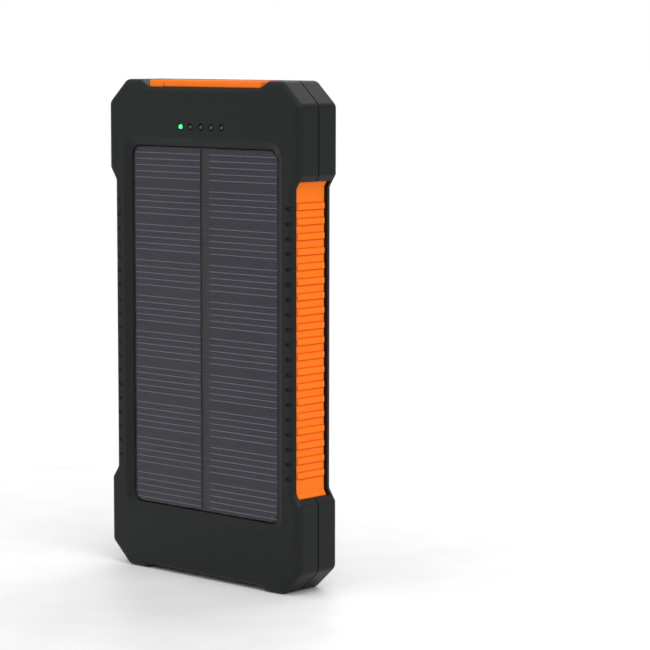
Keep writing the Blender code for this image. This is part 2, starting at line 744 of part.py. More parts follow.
def build_sockets(root, mats):
    for x, word in ((-USB_X, "left"), (USB_X, "right")):
        shell = socket_shell(*USB_SHELL, USB_WALL)
        new_object(f"usb_socket_{word}", shell, mats["nickel"], root, (x, USB_Y, USB_MOUTH_Z))
        wide, deep, tall = USB_TONGUE
        bottom = -USB_SHELL[2] + USB_WALL + GAP
        y = USB_SHELL[1] / 2 - USB_WALL - GAP
        tongue = box((-wide / 2, y - deep, bottom), (wide / 2, y, bottom + tall))
        obj = new_object(f"usb_tongue_{word}", tongue, mats["white_plastic"], root, (x, USB_Y, USB_MOUTH_Z))
        bevel(obj, 0.3 * MM, 1)
    shell = socket_shell(*MICRO_SHELL, MICRO_WALL)
    new_object("micro_usb_socket", shell, mats["nickel"], root, (0, USB_Y, USB_MOUTH_Z))
    wide, deep, tall = MICRO_TONGUE
    bottom = -MICRO_SHELL[2] + MICRO_WALL + GAP
    tongue = box((-wide / 2, -deep / 2, bottom), (wide / 2, deep / 2, bottom + tall))
    obj = new_object("micro_usb_tongue", tongue, mats["black_plastic"], root, (0, USB_Y, USB_MOUTH_Z))
    bevel(obj, 0.15 * MM, 1)


def build_electronics(root, mats):
    half, low, high = MAIN_BOARD
    board = box((-half, MAIN_BOARD_Y[0], low), (half, MAIN_BOARD_Y[1], high))
    new_object("main_board", board, mats["circuit_green"], root)
    face = MAIN_BOARD_Y[1] + GAP
    chip = box((-CHIP_HALF, face, CHIP_Z[0]), (CHIP_HALF, face + CHIP_THICK, CHIP_Z[1]))
    bevel(new_object("charge_chip", chip, mats["black_plastic"], root), 0.3 * MM, 1)
    coil = cylinder(INDUCTOR_RADIUS, face, face + INDUCTOR_HEIGHT, 20, "Y", 0.5 * MM)
    x, z = INDUCTOR_PLACE
    new_object("boost_inductor", coil, mats["ferrite"], root, (x, 0, z), 40)
    half = CELL_PACK_HALF
    for word, (y_low, y_high) in (("front", FRONT_PACK_Y), ("back", BACK_PACK_Y)):
        pack = box((-half, y_low, CELL_PACK_Z[0]), (half, y_high, CELL_PACK_Z[1]))
        bevel(new_object(f"battery_cell_{word}", pack, mats["battery_foil"], root), 1.2 * MM, 2)
    half -= FOAM_MARGIN[0]
    low = CELL_PACK_Z[0] + FOAM_MARGIN[1]
    high = CELL_PACK_Z[1] - FOAM_MARGIN[1]
    foam = box((-half, FOAM_Y[0], low), (half, FOAM_Y[1], high))
    new_object("battery_foam", foam, mats["foam"], root)


def build_leads(root, mats):
    """Two short leads from the cells' top edge to the main board's lower edge."""
    for side, word in ((-1, "red"), (1, "black")):
        curve = bpy.data.curves.new(f"battery_lead_{word}", "CURVE")
        curve.dimensions = "3D"
        curve.bevel_depth = LEAD_RADIUS
        curve.bevel_resolution = 2
        curve.use_fill_caps = True
        steps = 10
        spline = curve.splines.new("POLY")
        spline.points.add(steps)
        for i in range(steps + 1):
            share = i / steps
            ease = share * share * (3 - 2 * share)
            x = side * (LEAD_X[0] + (LEAD_X[1] - LEAD_X[0]) * share)
            y = LEAD_Y[0] + (LEAD_Y[1] - LEAD_Y[0]) * math.sin(math.pi * share)
            z = LEAD_Z[0] + (LEAD_Z[1] - LEAD_Z[0]) * ease
            spline.points[i].co = (x, y, z, 1)
        curve.materials.append(mats[f"lead_{word}"])
        obj = bpy.data.objects.new(f"battery_lead_{word}", curve)
        obj.parent = root
        bpy.context.scene.collection.objects.link(obj)


def build_lamp(root, mats):
    outline = rounded_rectangle(LAMP_HALF, *LAMP_Z, LAMP_CORNER)
    flange = offset_outline(outline, -LAMP_FLANGE)
    crown = offset_outline(outline, 0.35 * MM)
    under = BACK_INNER - GAP
    loops = [
        at_depth(crown, BACK - 0.1 * MM),
        at_depth(outline, BACK - 0.4 * MM),
        at_depth(outline, under),
        at_depth(flange, under),
        at_depth(flange, under - 1 * MM),
    ]
    new_object("lamp_lens", loft(loops), mats["frosted_white"], root)
    low = (-LAMP_BOARD_HALF, LAMP_BOARD_Y[0], LAMP_BOARD_Z[0])
    board = box(low, (LAMP_BOARD_HALF, LAMP_BOARD_Y[1], LAMP_BOARD_Z[1]))
    new_object("lamp_board", board, mats["board_white"], root)
    number = 0
    for z in LED_ROWS:
        for x in LED_COLUMNS:
            number += 1
            wide, deep, tall = LED_SIZE
            y = LAMP_BOARD_Y[1] + GAP
            led = box((x - wide / 2, y, z - tall / 2), (x + wide / 2, y + deep, z + tall / 2))
            bevel(new_object(f"lamp_led_{number}", led, mats["led_yellow"], root), 0.25 * MM, 1)


def build_indicators(root, mats):
    for i in range(INDICATOR_COUNT):
        x = INDICATOR_FIRST_X + i * INDICATOR_PITCH
        profile = [
            (0, FRONT),
            (INDICATOR_RADIUS * 0.6, FRONT + 0.05 * MM),
            (INDICATOR_RADIUS, FRONT + 0.25 * MM),
            (INDICATOR_RADIUS, FRONT_INNER - 0.2 * MM),
            (0, FRONT_INNER - 0.2 * MM),
        ]
        mat = mats["indicator_lit"] if i == 0 else mats["indicator_dark"]
        new_object(f"indicator_{i + 1}", turned(profile, 12), mat, root, (x, 0, INDICATOR_Z), 40)


def cross_outline():
    """A plus sign for a screw's recess."""
    reach = 1 * MM
    half = 0.22 * MM
    quarter = [(reach, -half), (reach, half), (half, half)]
    outline = []
    for turn in range(4):
        for x, z in quarter:
            for _ in range(turn):
                x, z = -z, x
            outline.append((x, z))
    return outline


def build_screws(root, mats):
    """Cross-recessed screws, with their heads deep in the counterbores."""
    seat = COUNTERBORE_FLOOR + GAP
    top = seat + SCREW_HEAD
    for index, (x, z) in enumerate(screw_places(), 1):
        profile = [
            (0, SCREW_TIP),
            (SCREW_RADIUS * 0.4, SCREW_TIP),
            (SCREW_RADIUS, SCREW_TIP + 1.2 * MM),
            (SCREW_RADIUS, seat),
            (SCREW_HEAD_RADIUS, seat),
            (SCREW_HEAD_RADIUS, top - 0.5 * MM),
            (SCREW_HEAD_RADIUS - 0.5 * MM, top),
            (0, top),
        ]
        screw = new_object(f"case_screw_{index}", turned(profile, 16), mats["black_steel"], root, (x, 0, z))
        cross = loft([at_depth(cross_outline(), top - 0.8 * MM), at_depth(cross_outline(), top + 0.8 * MM)])
        boolean(screw, helper(f"screw_cross_{index}", cross, root, (x, 0, z)), "DIFFERENCE")


def build_button(root, mats):
    low, high = BUTTON_Z
    pivot = new_empty("power_button_slide", (0, 0, low), root)
    half_x, half_y = BUTTON_HALF
    shaft = [(-half_x, -half_y), (half_x, -half_y), (half_x, half_y), (-half_x, half_y)]
    face = offset_outline(shaft, 0.3 * MM)
    flange = offset_outline(shaft, -BUTTON_FLANGE[0])
    height = high - low
    loops = [
        [(x, y, 0) for x, y in face],
        [(x, y, 0.3 * MM) for x, y in shaft],
        [(x, y, height) for x, y in shaft],
        [(x, y, height) for x, y in flange],
        [(x, y, height + BUTTON_FLANGE[1]) for x, y in flange],
    ]
    new_object("power_button", loft(loops), mats["orange_rubber"], pivot)
    bottom = high + BUTTON_FLANGE[1] + BUTTON_TRAVEL + 0.2 * MM
    switch = box((-SWITCH_HALF, SWITCH_Y[0], bottom), (SWITCH_HALF, SWITCH_Y[1], bottom + SWITCH_HEIGHT))
    bevel(new_object("button_switch", switch, mats["nickel"], root), 0.3 * MM, 1)


def build_ring(root, mats):
    """The ring hangs from its hinge line, tilted so that its lower side clears the body."""
    pivot = new_empty("ring_hinge", (0, *RING_AXIS), root)
    pivot.rotation_euler = (RING_TILT, 0, 0)
    half_r = RING_SECTION[0] / 2
    half_y = RING_SECTION[1] / 2
    cut = 0.35
    profile = []
    for radial, axial in ((-1, -1), (1, -1), (1, 1), (-1, 1)):
        first = (RING_RADIUS + radial * half_r, axial * half_y * (1 - cut))
        second = (RING_RADIUS + radial * half_r * (1 - cut), axial * half_y)
        profile += [first, second] if radial * axial > 0 else [second, first]
    ring = turned(profile, 36, "Y")
    new_object("split_ring", ring, mats["nickel"], pivot, (0, 0, -RING_RADIUS), 40)
    return pivot


def strap_side_profile():
    """The folded strap seen from its edge: an eye round the ring and one round the carabiner."""
    half = STRAP_THICK / 2
    outline = []
    arcs = ((0, TOP_EYE + WEBBING_THICK, 1), (-STRAP_LENGTH, LOW_EYE + WEBBING_THICK, -1))
    steps = 8
    for centre, radius, way in arcs:
        start = math.asin(half / radius)
        for i in range(steps + 1):
            angle = start + (2 * math.pi - 2 * start) * i / steps
            y = radius * math.sin(angle) * way
            z = centre - way * radius * math.cos(angle)
            outline.append((y, z))
    return outline


def build_strap(root, mats):
    pivot = new_empty("strap_hinge", (0, STRAP_Y, STRAP_TOP_Z), root)
    side = strap_side_profile()
    wide = STRAP_WIDTH / 2
    loop = STRAP_LOOP_WIDTH / 2
    band = loft([[(x, y, z) for y, z in side] for x in (-wide, wide)])
    strap = new_object("strap_webbing", band, mats["webbing"], pivot)
    top = TOP_EYE + WEBBING_THICK + 1 * MM
    bottom = -STRAP_LENGTH - LOW_EYE - WEBBING_THICK - 1 * MM
    front = [
        (loop, bottom),
        (loop, -STRAP_LENGTH + STRAP_TAPER_LOW[0]),
        (wide + STRAP_FLARE, -STRAP_LENGTH + STRAP_TAPER_LOW[1]),
        (wide + STRAP_FLARE, -STRAP_TAPER_TOP[1]),
        (loop, -STRAP_TAPER_TOP[0]),
        (loop, top),
    ]
    plan = mirrored(front)
    shape = loft([at_depth(plan, -8 * MM), at_depth(plan, 8 * MM)])
    boolean(strap, helper("strap_plan", shape, pivot), "INTERSECT")
    eye = cylinder(TOP_EYE, -wide - 1 * MM, wide + 1 * MM, 16, "X")
    boolean(strap, helper("strap_top_eye", eye, pivot), "DIFFERENCE")
    eye = cylinder(LOW_EYE, -wide - 1 * MM, wide + 1 * MM, 16, "X")
    boolean(strap, helper("strap_low_eye", eye, pivot, (0, 0, -STRAP_LENGTH)), "DIFFERENCE")
    return pivot


def build_compass(strap, mats):
    """A slider on the strap that carries a clear-topped compass capsule."""
    half_x, half_z = SLIDER_HALF
    channel_x, channel_y = SLIDER_CHANNEL
    middle = -SLIDER_DROP
    y_back = -channel_y - SLIDER_BACK
    y_front = channel_y + SLIDER_FRONT
    back_corner, edge, front_corner = SLIDER_CORNERS
    body = [
        (half_x - back_corner, y_back),
        (half_x, y_back + edge),
        (half_x, y_front - edge),
        (half_x - front_corner, y_front),
        (-half_x + front_corner, y_front),
        (-half_x, y_front - edge),
        (-half_x, y_back + edge),
        (-half_x + back_corner, y_back),
    ]
    hole = [
        (channel_x, -channel_y), (channel_x, 0), (channel_x, channel_y), (0.5 * channel_x, channel_y),
        (-0.5 * channel_x, channel_y), (-channel_x, channel_y), (-channel_x, 0), (-channel_x, -channel_y),
    ]
    low = middle - half_z
    high = middle + half_z
    loops = [
        [(x, y, low) for x, y in body],
        [(x, y, high) for x, y in body],
        [(x, y, high) for x, y in hole],
        [(x, y, low) for x, y in hole],
    ]
    new_object("compass_slider", loft(loops, ring=True), mats["black_plastic"], strap)

    seat = y_front + GAP
    place = (0, seat, middle)
    inner = CASE_RADIUS - CASE_WALL
    profile = [(0, 0), (CASE_RADIUS - 0.4 * MM, 0), (CASE_RADIUS, 0.4 * MM), (CASE_RADIUS, CASE_HEIGHT)]
    profile += [(inner, CASE_HEIGHT), (inner, CASE_FLOOR), (0, CASE_FLOOR)]
    new_object("compass_case", turned(profile, 32), mats["black_plastic"], strap, place, 40)

    foot = CASE_FLOOR + GAP
    inside = DOME_RADIUS - DOME_WALL
    profile = [(DOME_RADIUS, foot), (DOME_RADIUS, DOME_SHOULDER)]
    steps = 4
    for i in range(1, steps):
        angle = math.pi / 2 * i / steps
        profile.append((DOME_RADIUS * math.cos(angle), DOME_SHOULDER + DOME_RISE * math.sin(angle)))
    profile += [(0, DOME_SHOULDER + DOME_RISE)]
    under = [(inside, foot), (inside, DOME_SHOULDER)]
    for i in range(1, steps):
        angle = math.pi / 2 * i / steps
        under.append((inside * math.cos(angle), DOME_SHOULDER + (DOME_RISE - DOME_WALL) * math.sin(angle)))
    under += [(0, DOME_SHOULDER + DOME_RISE - DOME_WALL)]
    new_object("compass_dome", turned(profile[::-1] + under, 32), mats["clear"], strap, place, 40)

    pin = [(0, foot), (0.9 * MM, foot), (0.3 * MM, foot + 0.35 * MM), (0.2 * MM, CARD_Y - 0.25 * MM)]
    pin += [(0, CARD_Y - 0.2 * MM)]
    new_object("compass_pivot", turned(pin, 12), mats["brass"], strap, place, 40)
    card = [(0, CARD_Y), (CARD_RADIUS, CARD_Y), (CARD_RADIUS, CARD_Y + 0.4 * MM)]
    card += [(1.1 * MM, CARD_Y + 0.4 * MM), (0.7 * MM, CARD_Y + 1.1 * MM), (0, CARD_Y + 1.2 * MM)]
    pivot = new_empty("compass_card_spindle", place, strap)
    new_object("compass_card", turned(card, 32), mats["compass_green"], pivot, (0, 0, 0), 40)


def wire_solid(path, radius, sides=12):
    """A round wire along a flat path in X and Z."""
    loops = []
    count = len(path)
    for i, (x, z) in enumerate(path):
        before = Vector(path[max(i - 1, 0)])
        after = Vector(path[min(i + 1, count - 1)])
        along = (after - before).normalized()
        side = Vector((along.y, -along.x))
        loop = []
        for k in range(sides):
            angle = 2 * math.pi * k / sides
            out = side * (radius * math.cos(angle))
            loop.append((x + out.x, radius * math.sin(angle), z + out.y))
        loops.append(loop)
    return loft(loops)


def arc(centre, radius, start, end, steps):
    """Points of an arc in X and Z, with angles in degrees from +X towards +Z."""
    points = []
    for i in range(steps + 1):
        angle = math.radians(start + (end - start) * i / steps)
        points.append((centre[0] + radius * math.cos(angle), centre[1] + radius * math.sin(angle)))
    return points


def build_carabiner(root, mats):
    """The hook hangs by its top bar. The gate is on its right side and opens inwards about its upper end."""
    pivot = new_empty("carabiner_hinge", (0, STRAP_Y, STRAP_TOP_Z - STRAP_LENGTH), root)
    corner = CARABINER_HALF - BAR_HALF
    nose_z = -CARABINER_DROP + NOSE_RISE
    end_z = -PIN_DROP + HINGE_OVERLAP
    path = [(CARABINER_HALF, end_z)]
    path += arc((BAR_HALF, -corner), corner, 0, 90, 5)
    path += arc((-BAR_HALF, -corner), corner, 90, 180, 5)
    path += arc((0, -CARABINER_DROP), CARABINER_HALF, 180, 360, 16)
    path.append((CARABINER_HALF, nose_z))
    body = new_object(
        "carabiner_body", wire_solid(path, WIRE_RADIUS), mats["gloss_black"], pivot, (0, 0, 0), 40
    )
    half = TONGUE_THICK / 2
    low = (CARABINER_HALF - TONGUE_HALF, -half, -PIN_DROP - 1 * MM)
    tongue = box(low, (CARABINER_HALF + TONGUE_HALF, half, end_z + 0.6 * MM))
    boolean(body, helper("gate_tongue", tongue, pivot), "UNION")
    hole = cylinder(PIN_RADIUS + PIN_CLEARANCE, -3 * MM, 3 * MM, 12)
    cutter = helper("pin_hole", hole, pivot, (CARABINER_HALF, 0, -PIN_DROP))
    boolean(body, cutter, "DIFFERENCE")

    hinge = new_empty("gate_hinge", (CARABINER_HALF, 0, -PIN_DROP), pivot)
    low = nose_z + PIN_DROP + GAP
    high = end_z + PIN_DROP - 0.5 * MM
    bar = cylinder(WIRE_RADIUS, low, high, 14, "Z", 0.3 * MM)
    gate = new_object("carabiner_gate", bar, mats["nickel"], hinge, (0, 0, 0), 40)
    slot_half = half + 0.25 * MM
    slot = box((-2 * MM, -slot_half, GATE_SLOT_FOOT), (2 * MM, slot_half, high + 1 * MM))
    boolean(gate, helper("gate_slot", slot, hinge), "DIFFERENCE")
    bore = cylinder(SPRING_BORE, SPRING_Z[0] - 0.6 * MM, GATE_SLOT_FOOT + 0.7 * MM, 12, "Z")
    boolean(gate, helper("gate_spring_bore", bore, hinge), "DIFFERENCE")
    hole = cylinder(PIN_RADIUS + PIN_CLEARANCE, -3 * MM, 3 * MM, 12)
    boolean(gate, helper("gate_pin_hole", hole, hinge), "DIFFERENCE")
    pin = cylinder(PIN_RADIUS, -WIRE_RADIUS - 0.2 * MM, WIRE_RADIUS + 0.2 * MM, 12, "Y", 0.1 * MM)
    new_object("gate_pin", pin, mats["nickel"], pivot, (CARABINER_HALF, 0, -PIN_DROP), 40)

    steps = SPRING_TURNS * 10
    sides = 5
    loops = []
    for i in range(steps + 1):
        angle = 2 * math.pi * SPRING_TURNS * i / steps
        centre = Vector((SPRING_COIL * math.cos(angle), SPRING_COIL * math.sin(angle)))
        z = SPRING_Z[0] + (SPRING_Z[1] - SPRING_Z[0]) * i / steps
        loop = []
        for k in range(sides):
            turn = 2 * math.pi * k / sides
            reach = 1 + SPRING_WIRE / SPRING_COIL * math.cos(turn)
            loop.append((centre.x * reach, centre.y * reach, z + SPRING_WIRE * math.sin(turn)))
        loops.append(loop)
    new_object("gate_spring", loft(loops), mats["nickel"], hinge)


def make_materials():
    return {
        "black_shell": make_material("black_shell", (0.022, 0.023, 0.023), 0.55),
        "orange_rubber": make_material("orange_rubber", (1.0, 0.195, 0.013), 0.5),
        "panel_black": make_material("panel_black", (0.02, 0.02, 0.024), 0.4),
        "solar_cell": make_material("solar_cell", (0.036, 0.036, 0.048), 0.3),
        "clear": make_material("clear", (0.9, 0.92, 0.95), 0.05, 0.0, 0.25),
        "white_plastic": make_material("white_plastic", (0.8, 0.8, 0.78), 0.4),
        "frosted_white": make_material("frosted_white", (0.72, 0.72, 0.84), 0.5),
        "board_white": make_material("board_white", (0.75, 0.75, 0.72), 0.5),
        "led_yellow": make_material("led_yellow", (0.85, 0.75, 0.2), 0.3),
        "indicator_lit": make_material("indicator_lit", (0.05, 0.9, 0.2), 0.3, 0.0, 1.0, 2.0),
        "indicator_dark": make_material("indicator_dark", (0.06, 0.07, 0.06), 0.3),
        "black_steel": make_material("black_steel", (0.03, 0.03, 0.03), 0.35, 1.0),
        "nickel": make_material("nickel", (0.72, 0.7, 0.66), 0.22, 1.0),
        "brass": make_material("brass", (0.75, 0.55, 0.22), 0.3, 1.0),
        "circuit_green": make_material("circuit_green", (0.02, 0.18, 0.06), 0.4),
        "ferrite": make_material("ferrite", (0.09, 0.09, 0.1), 0.6),
        "battery_foil": make_material("battery_foil", (0.6, 0.6, 0.62), 0.35, 0.6),
        "foam": make_material("foam", (0.1, 0.1, 0.1), 0.95),
        "black_plastic": make_material("black_plastic", (0.02, 0.02, 0.02), 0.4),
        "lead_red": make_material("lead_red", (0.6, 0.02, 0.02), 0.5),
        "lead_black": make_material("lead_black", (0.02, 0.02, 0.02), 0.5),
        "webbing": make_material("webbing", (0.015, 0.015, 0.015), 0.9),
        "gloss_black": make_material("gloss_black", (0.01, 0.01, 0.01), 0.15),
        "compass_green": make_material("compass_green", (0.02, 0.16, 0.1), 0.5),
    }


def main():
    clear_scene()
    mats = make_materials()
    root = new_empty("charger", (0, BODY_MID_Y, 0))
    build_shells(root, mats)
    build_panel(root, mats)
    build_grips(root, mats)
    build_cover(root, mats)
    build_sockets(root, mats)
    build_electronics(root, mats)
    build_leads(root, mats)
    build_lamp(root, mats)
    build_indicators(root, mats)
    build_screws(root, mats)
    build_button(root, mats)
    build_ring(root, mats)
    strap = build_strap(root, mats)
    build_compass(strap, mats)
    build_carabiner(root, mats)


main()
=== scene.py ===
"""Looks of the solar phone charger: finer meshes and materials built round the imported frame.

Lengths are in millimetres times MM. Shapes are drawn about the body's middle plane: X right,
Y from the solar face to the back, Z up. piece() moves each mesh to where the frame has that plane.
"""

import math

import bmesh
import bpy
from mathutils import Matrix, Vector


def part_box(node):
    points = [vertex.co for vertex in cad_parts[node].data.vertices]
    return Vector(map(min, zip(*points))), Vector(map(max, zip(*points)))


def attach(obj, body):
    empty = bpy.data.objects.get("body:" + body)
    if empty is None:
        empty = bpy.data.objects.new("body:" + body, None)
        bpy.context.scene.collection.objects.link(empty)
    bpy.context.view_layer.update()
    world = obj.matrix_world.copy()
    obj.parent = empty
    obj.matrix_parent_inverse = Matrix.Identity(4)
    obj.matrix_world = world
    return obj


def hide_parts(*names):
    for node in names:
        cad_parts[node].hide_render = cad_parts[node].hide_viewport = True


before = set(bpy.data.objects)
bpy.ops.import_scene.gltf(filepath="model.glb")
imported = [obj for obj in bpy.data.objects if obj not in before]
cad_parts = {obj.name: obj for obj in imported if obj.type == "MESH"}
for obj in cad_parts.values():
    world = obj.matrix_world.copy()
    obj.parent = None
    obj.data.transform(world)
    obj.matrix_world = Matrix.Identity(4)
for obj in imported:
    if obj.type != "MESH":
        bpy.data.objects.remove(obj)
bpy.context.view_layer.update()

MM = 0.001

# Sizes shared with the frame
BODY_HEIGHT = 142 * MM
BODY_DEPTH = 16 * MM
HALF_WIDTH = 37.8 * MM
CORNER = (7 * MM, 6.5 * MM)
RECESS_X = 35.5 * MM
RAMP_TOP = (112.8 * MM, 116.3 * MM)
RAMP_BOTTOM = (28.9 * MM, 25.5 * MM)
TOP_RAMP = (22 * MM, 25.5 * MM)
BOTTOM_RECESS = 1 * MM
BOTTOM_RAMP = (22 * MM, 24 * MM)
EDGE_ROUND = 1.8 * MM
WALL = 3.2 * MM
FRONT = -8 * MM
BACK = 8 * MM
FRONT_INNER = -4.2 * MM
BACK_INNER = 5.8 * MM
PARTING = 0.15 * MM
GAP = 0.3 * MM
GRIP_Y = (-6.2 * MM, 5.7 * MM)
RIDGES = 19
RIB_FIRST_Z = 33.5 * MM
RIB_PITCH = 4.13 * MM
RIB_WIDTH = 1.7 * MM
GROOVE_FIRST_Z = 33.1 * MM
GROOVE_PITCH = 4.14 * MM
GROOVE_TILT = math.radians(7)
COVER_Y = (-6.6 * MM, 4.3 * MM)
COVER_HALF = 22 * MM
COVER_TOP = 141.9 * MM
COVER_THICK = 2 * MM
HINGE_X = -16 * MM
PANEL_HALF = 28.9 * MM
PANEL_Z = (19.3 * MM, 123.2 * MM)
PANEL_CORNER = 2.8 * MM
USB_X = 13 * MM
USB_Y = -1.05 * MM
USB_MOUTH_Z = 139.3 * MM
LAMP_HALF = 13.3 * MM
LAMP_Z = (13.2 * MM, 31 * MM)
LAMP_CORNER = 2.4 * MM
INDICATOR_X = [(-8.25 + 4.1 * i) * MM for i in range(5)]
INDICATOR_Z = 128.8 * MM
SCREWS = [(side * 31 * MM, z) for z in (133.6 * MM, 9.6 * MM) for side in (-1, 1)]
SCREW_BORE = 1.15 * MM
SCREW_TIP = -4.3 * MM
CLIP_HALF = 5.3 * MM
RING_AXIS = (8.45 * MM, 119.5 * MM)
RING_RADIUS = 10.1 * MM
STRAP_Y = 12.7 * MM
RING_TILT = math.asin((STRAP_Y - RING_AXIS[0]) / (2 * RING_RADIUS))
STRAP_TOP_Z = RING_AXIS[1] - 2 * RING_RADIUS * math.cos(RING_TILT)
STRAP_LENGTH = 49 * MM
STRAP_LOW_Z = STRAP_TOP_Z - STRAP_LENGTH
SLIDER_Z = STRAP_TOP_Z - 18.8 * MM
CASE_Y = STRAP_Y + 3.5 * MM
PIN_DROP = 9 * MM
CARABINER_HALF = 10.5 * MM

SIDES = ((-1, "left"), (1, "right"))
MID_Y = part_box("front_shell")[0].y + BODY_DEPTH / 2


def linked(name, data):
    """A new object in the scene."""
    obj = bpy.data.objects.new(name, data)
    bpy.context.scene.collection.objects.link(obj)
    return obj


# Camera: its place is given from the body's middle plane, as for every shape

def add_camera():
    eye = Vector((499.578, -504.225, 151.338)) * MM
    turn = Vector((0.1051, 0.0423, -0.7383))
    focal, frame_side, sensor = 2504.77, 650, 36
    camera = bpy.data.cameras.new("camera")
    camera.sensor_width = sensor
    camera.lens = focal / frame_side * sensor
    camera.clip_end = 10
    obj = linked("camera", camera)
    upright = Matrix(((1, 0, 0), (0, 0, -1), (0, 1, 0)))
    rotation = Matrix.Rotation(turn.length, 3, turn.normalized()).transposed() @ upright
    obj.matrix_world = Matrix.Translation(eye + Vector((0, MID_Y, 0))) @ rotation.to_4x4()
    bpy.context.scene.camera = obj


add_camera()


# Materials

def add_node(tree, kind, **inputs):
    """A new shader node with these values on its sockets."""
    node = tree.nodes.new("ShaderNode" + kind)
    for socket, value in inputs.items():
        node.inputs[socket.replace("_", " ")].default_value = value
    return node


class Paint:
    """A Principled material whose texture nodes read the object's own coordinates, in millimetres."""

    def __init__(self, name, color, roughness, metallic=0.0, **sockets):
        self.mat = bpy.data.materials.new(name)
        self.mat.use_nodes = True
        self.tree = self.mat.node_tree
        self.links = self.tree.links
        self.shader = self.tree.nodes["Principled BSDF"]
        self.color = color
        self.roughness = roughness
        self.set("Base Color", (*color, 1))
        self.set("Roughness", roughness)
        self.set("Metallic", metallic)
        for socket, value in sockets.items():
            self.set(socket.replace("_", " "), value)
        coordinates = add_node(self.tree, "TexCoord")
        scale = add_node(self.tree, "Mapping", Scale=(1000, 1000, 1000))
        self.links.new(coordinates.outputs["Object"], scale.inputs["Vector"])
        self.position = scale.outputs["Vector"]
        self.height = None

    def set(self, socket, value):
        self.shader.inputs[socket].default_value = value

    def noise(self, per_mm, detail=3.0, stretch=(1, 1, 1)):
        node = add_node(self.tree, "TexNoise", Scale=per_mm, Detail=detail, Roughness=0.55)
        self.links.new(self.stretched(stretch), node.inputs["Vector"])
        return node.outputs["Fac"]

    def stretched(self, stretch, turn=(0, 0, 0)):
        if tuple(stretch) == (1, 1, 1) and tuple(turn) == (0, 0, 0):
            return self.position
        node = add_node(self.tree, "Mapping", Scale=stretch, Rotation=turn)
        self.links.new(self.position, node.inputs["Vector"])
        return node.outputs["Vector"]

    def voronoi(self, per_mm, output="Distance"):
        node = add_node(self.tree, "TexVoronoi", Scale=per_mm)
        self.links.new(self.position, node.inputs["Vector"])
        return node.outputs[output]

    def wave(self, per_mm, direction, distortion, turn):
        node = add_node(self.tree, "TexWave", Scale=per_mm, Distortion=distortion)
        node.bands_direction = direction
        self.links.new(self.stretched((1, 1, 1), turn), node.inputs["Vector"])
        return node.outputs["Fac"]

    def map_range(self, value, **ends):
        node = add_node(self.tree, "MapRange", **ends)
        self.links.new(value, node.inputs["Value"])
        return node.outputs["Result"]

    def ramp(self, value, low, high):
        """Maps a 0 to 1 value onto a range."""
        return self.map_range(value, To_Min=low, To_Max=high)

    def step(self, value, start, end):
        """0 below start, 1 above end."""
        return self.map_range(value, From_Min=start, From_Max=end)

    def vary_roughness(self, value, reach):
        varied = self.ramp(value, self.roughness - reach, self.roughness + reach)
        self.links.new(varied, self.shader.inputs["Roughness"])

    def tint(self, value, color):
        """Mixes another colour over what the material has so far, where value is high."""
        node = add_node(self.tree, "Mix")
        node.data_type = "RGBA"
        self.links.new(value, node.inputs["Factor"])
        base = self.shader.inputs["Base Color"]
        if base.is_linked:
            self.links.new(base.links[0].from_socket, node.inputs[6])
        else:
            node.inputs[6].default_value = (*self.color, 1)
        node.inputs[7].default_value = (*color, 1)
        self.links.new(node.outputs[2], base)

    def bump(self, value, height_mm):
        """Adds a relief this high, in millimetres."""
        node = add_node(self.tree, "Bump", Strength=1.0, Distance=height_mm * MM)
        self.links.new(value, node.inputs["Height"])
        if self.height:
            self.links.new(self.height, node.inputs["Normal"])
        self.height = node.outputs["Normal"]
        self.links.new(self.height, self.shader.inputs["Normal"])


def moulded(name, color, roughness, grain, spread=0.06, specular=0.5, **sockets):
    """Moulded plastic or rubber: a spark-eroded grain, faint flow marks and uneven gloss."""
    paint = Paint(name, color, roughness, Specular_IOR_Level=specular, **sockets)
    paint.vary_roughness(paint.noise(0.18, 4), spread)
    darker = tuple(c * 0.82 for c in color)
    lighter = tuple(min(1, c * 1.14 + 0.002) for c in color)
    paint.tint(paint.ramp(paint.noise(0.05, 3), -0.3, 0.6), darker)
    paint.tint(paint.ramp(paint.noise(2.4, 2), -0.35, 0.5), lighter)
    paint.bump(paint.noise(5.5, 2), grain)
    return paint


def brushed(name, color, roughness, stretch, scratch=0.006):
    paint = Paint(name, color, roughness, 1.0)
    lines = paint.noise(3, 4, stretch)
    paint.vary_roughness(lines, roughness * 0.4)
    paint.tint(paint.ramp(paint.noise(0.4, 4), -0.3, 0.5), tuple(c * 0.7 for c in color))
    paint.bump(lines, scratch)
    return paint


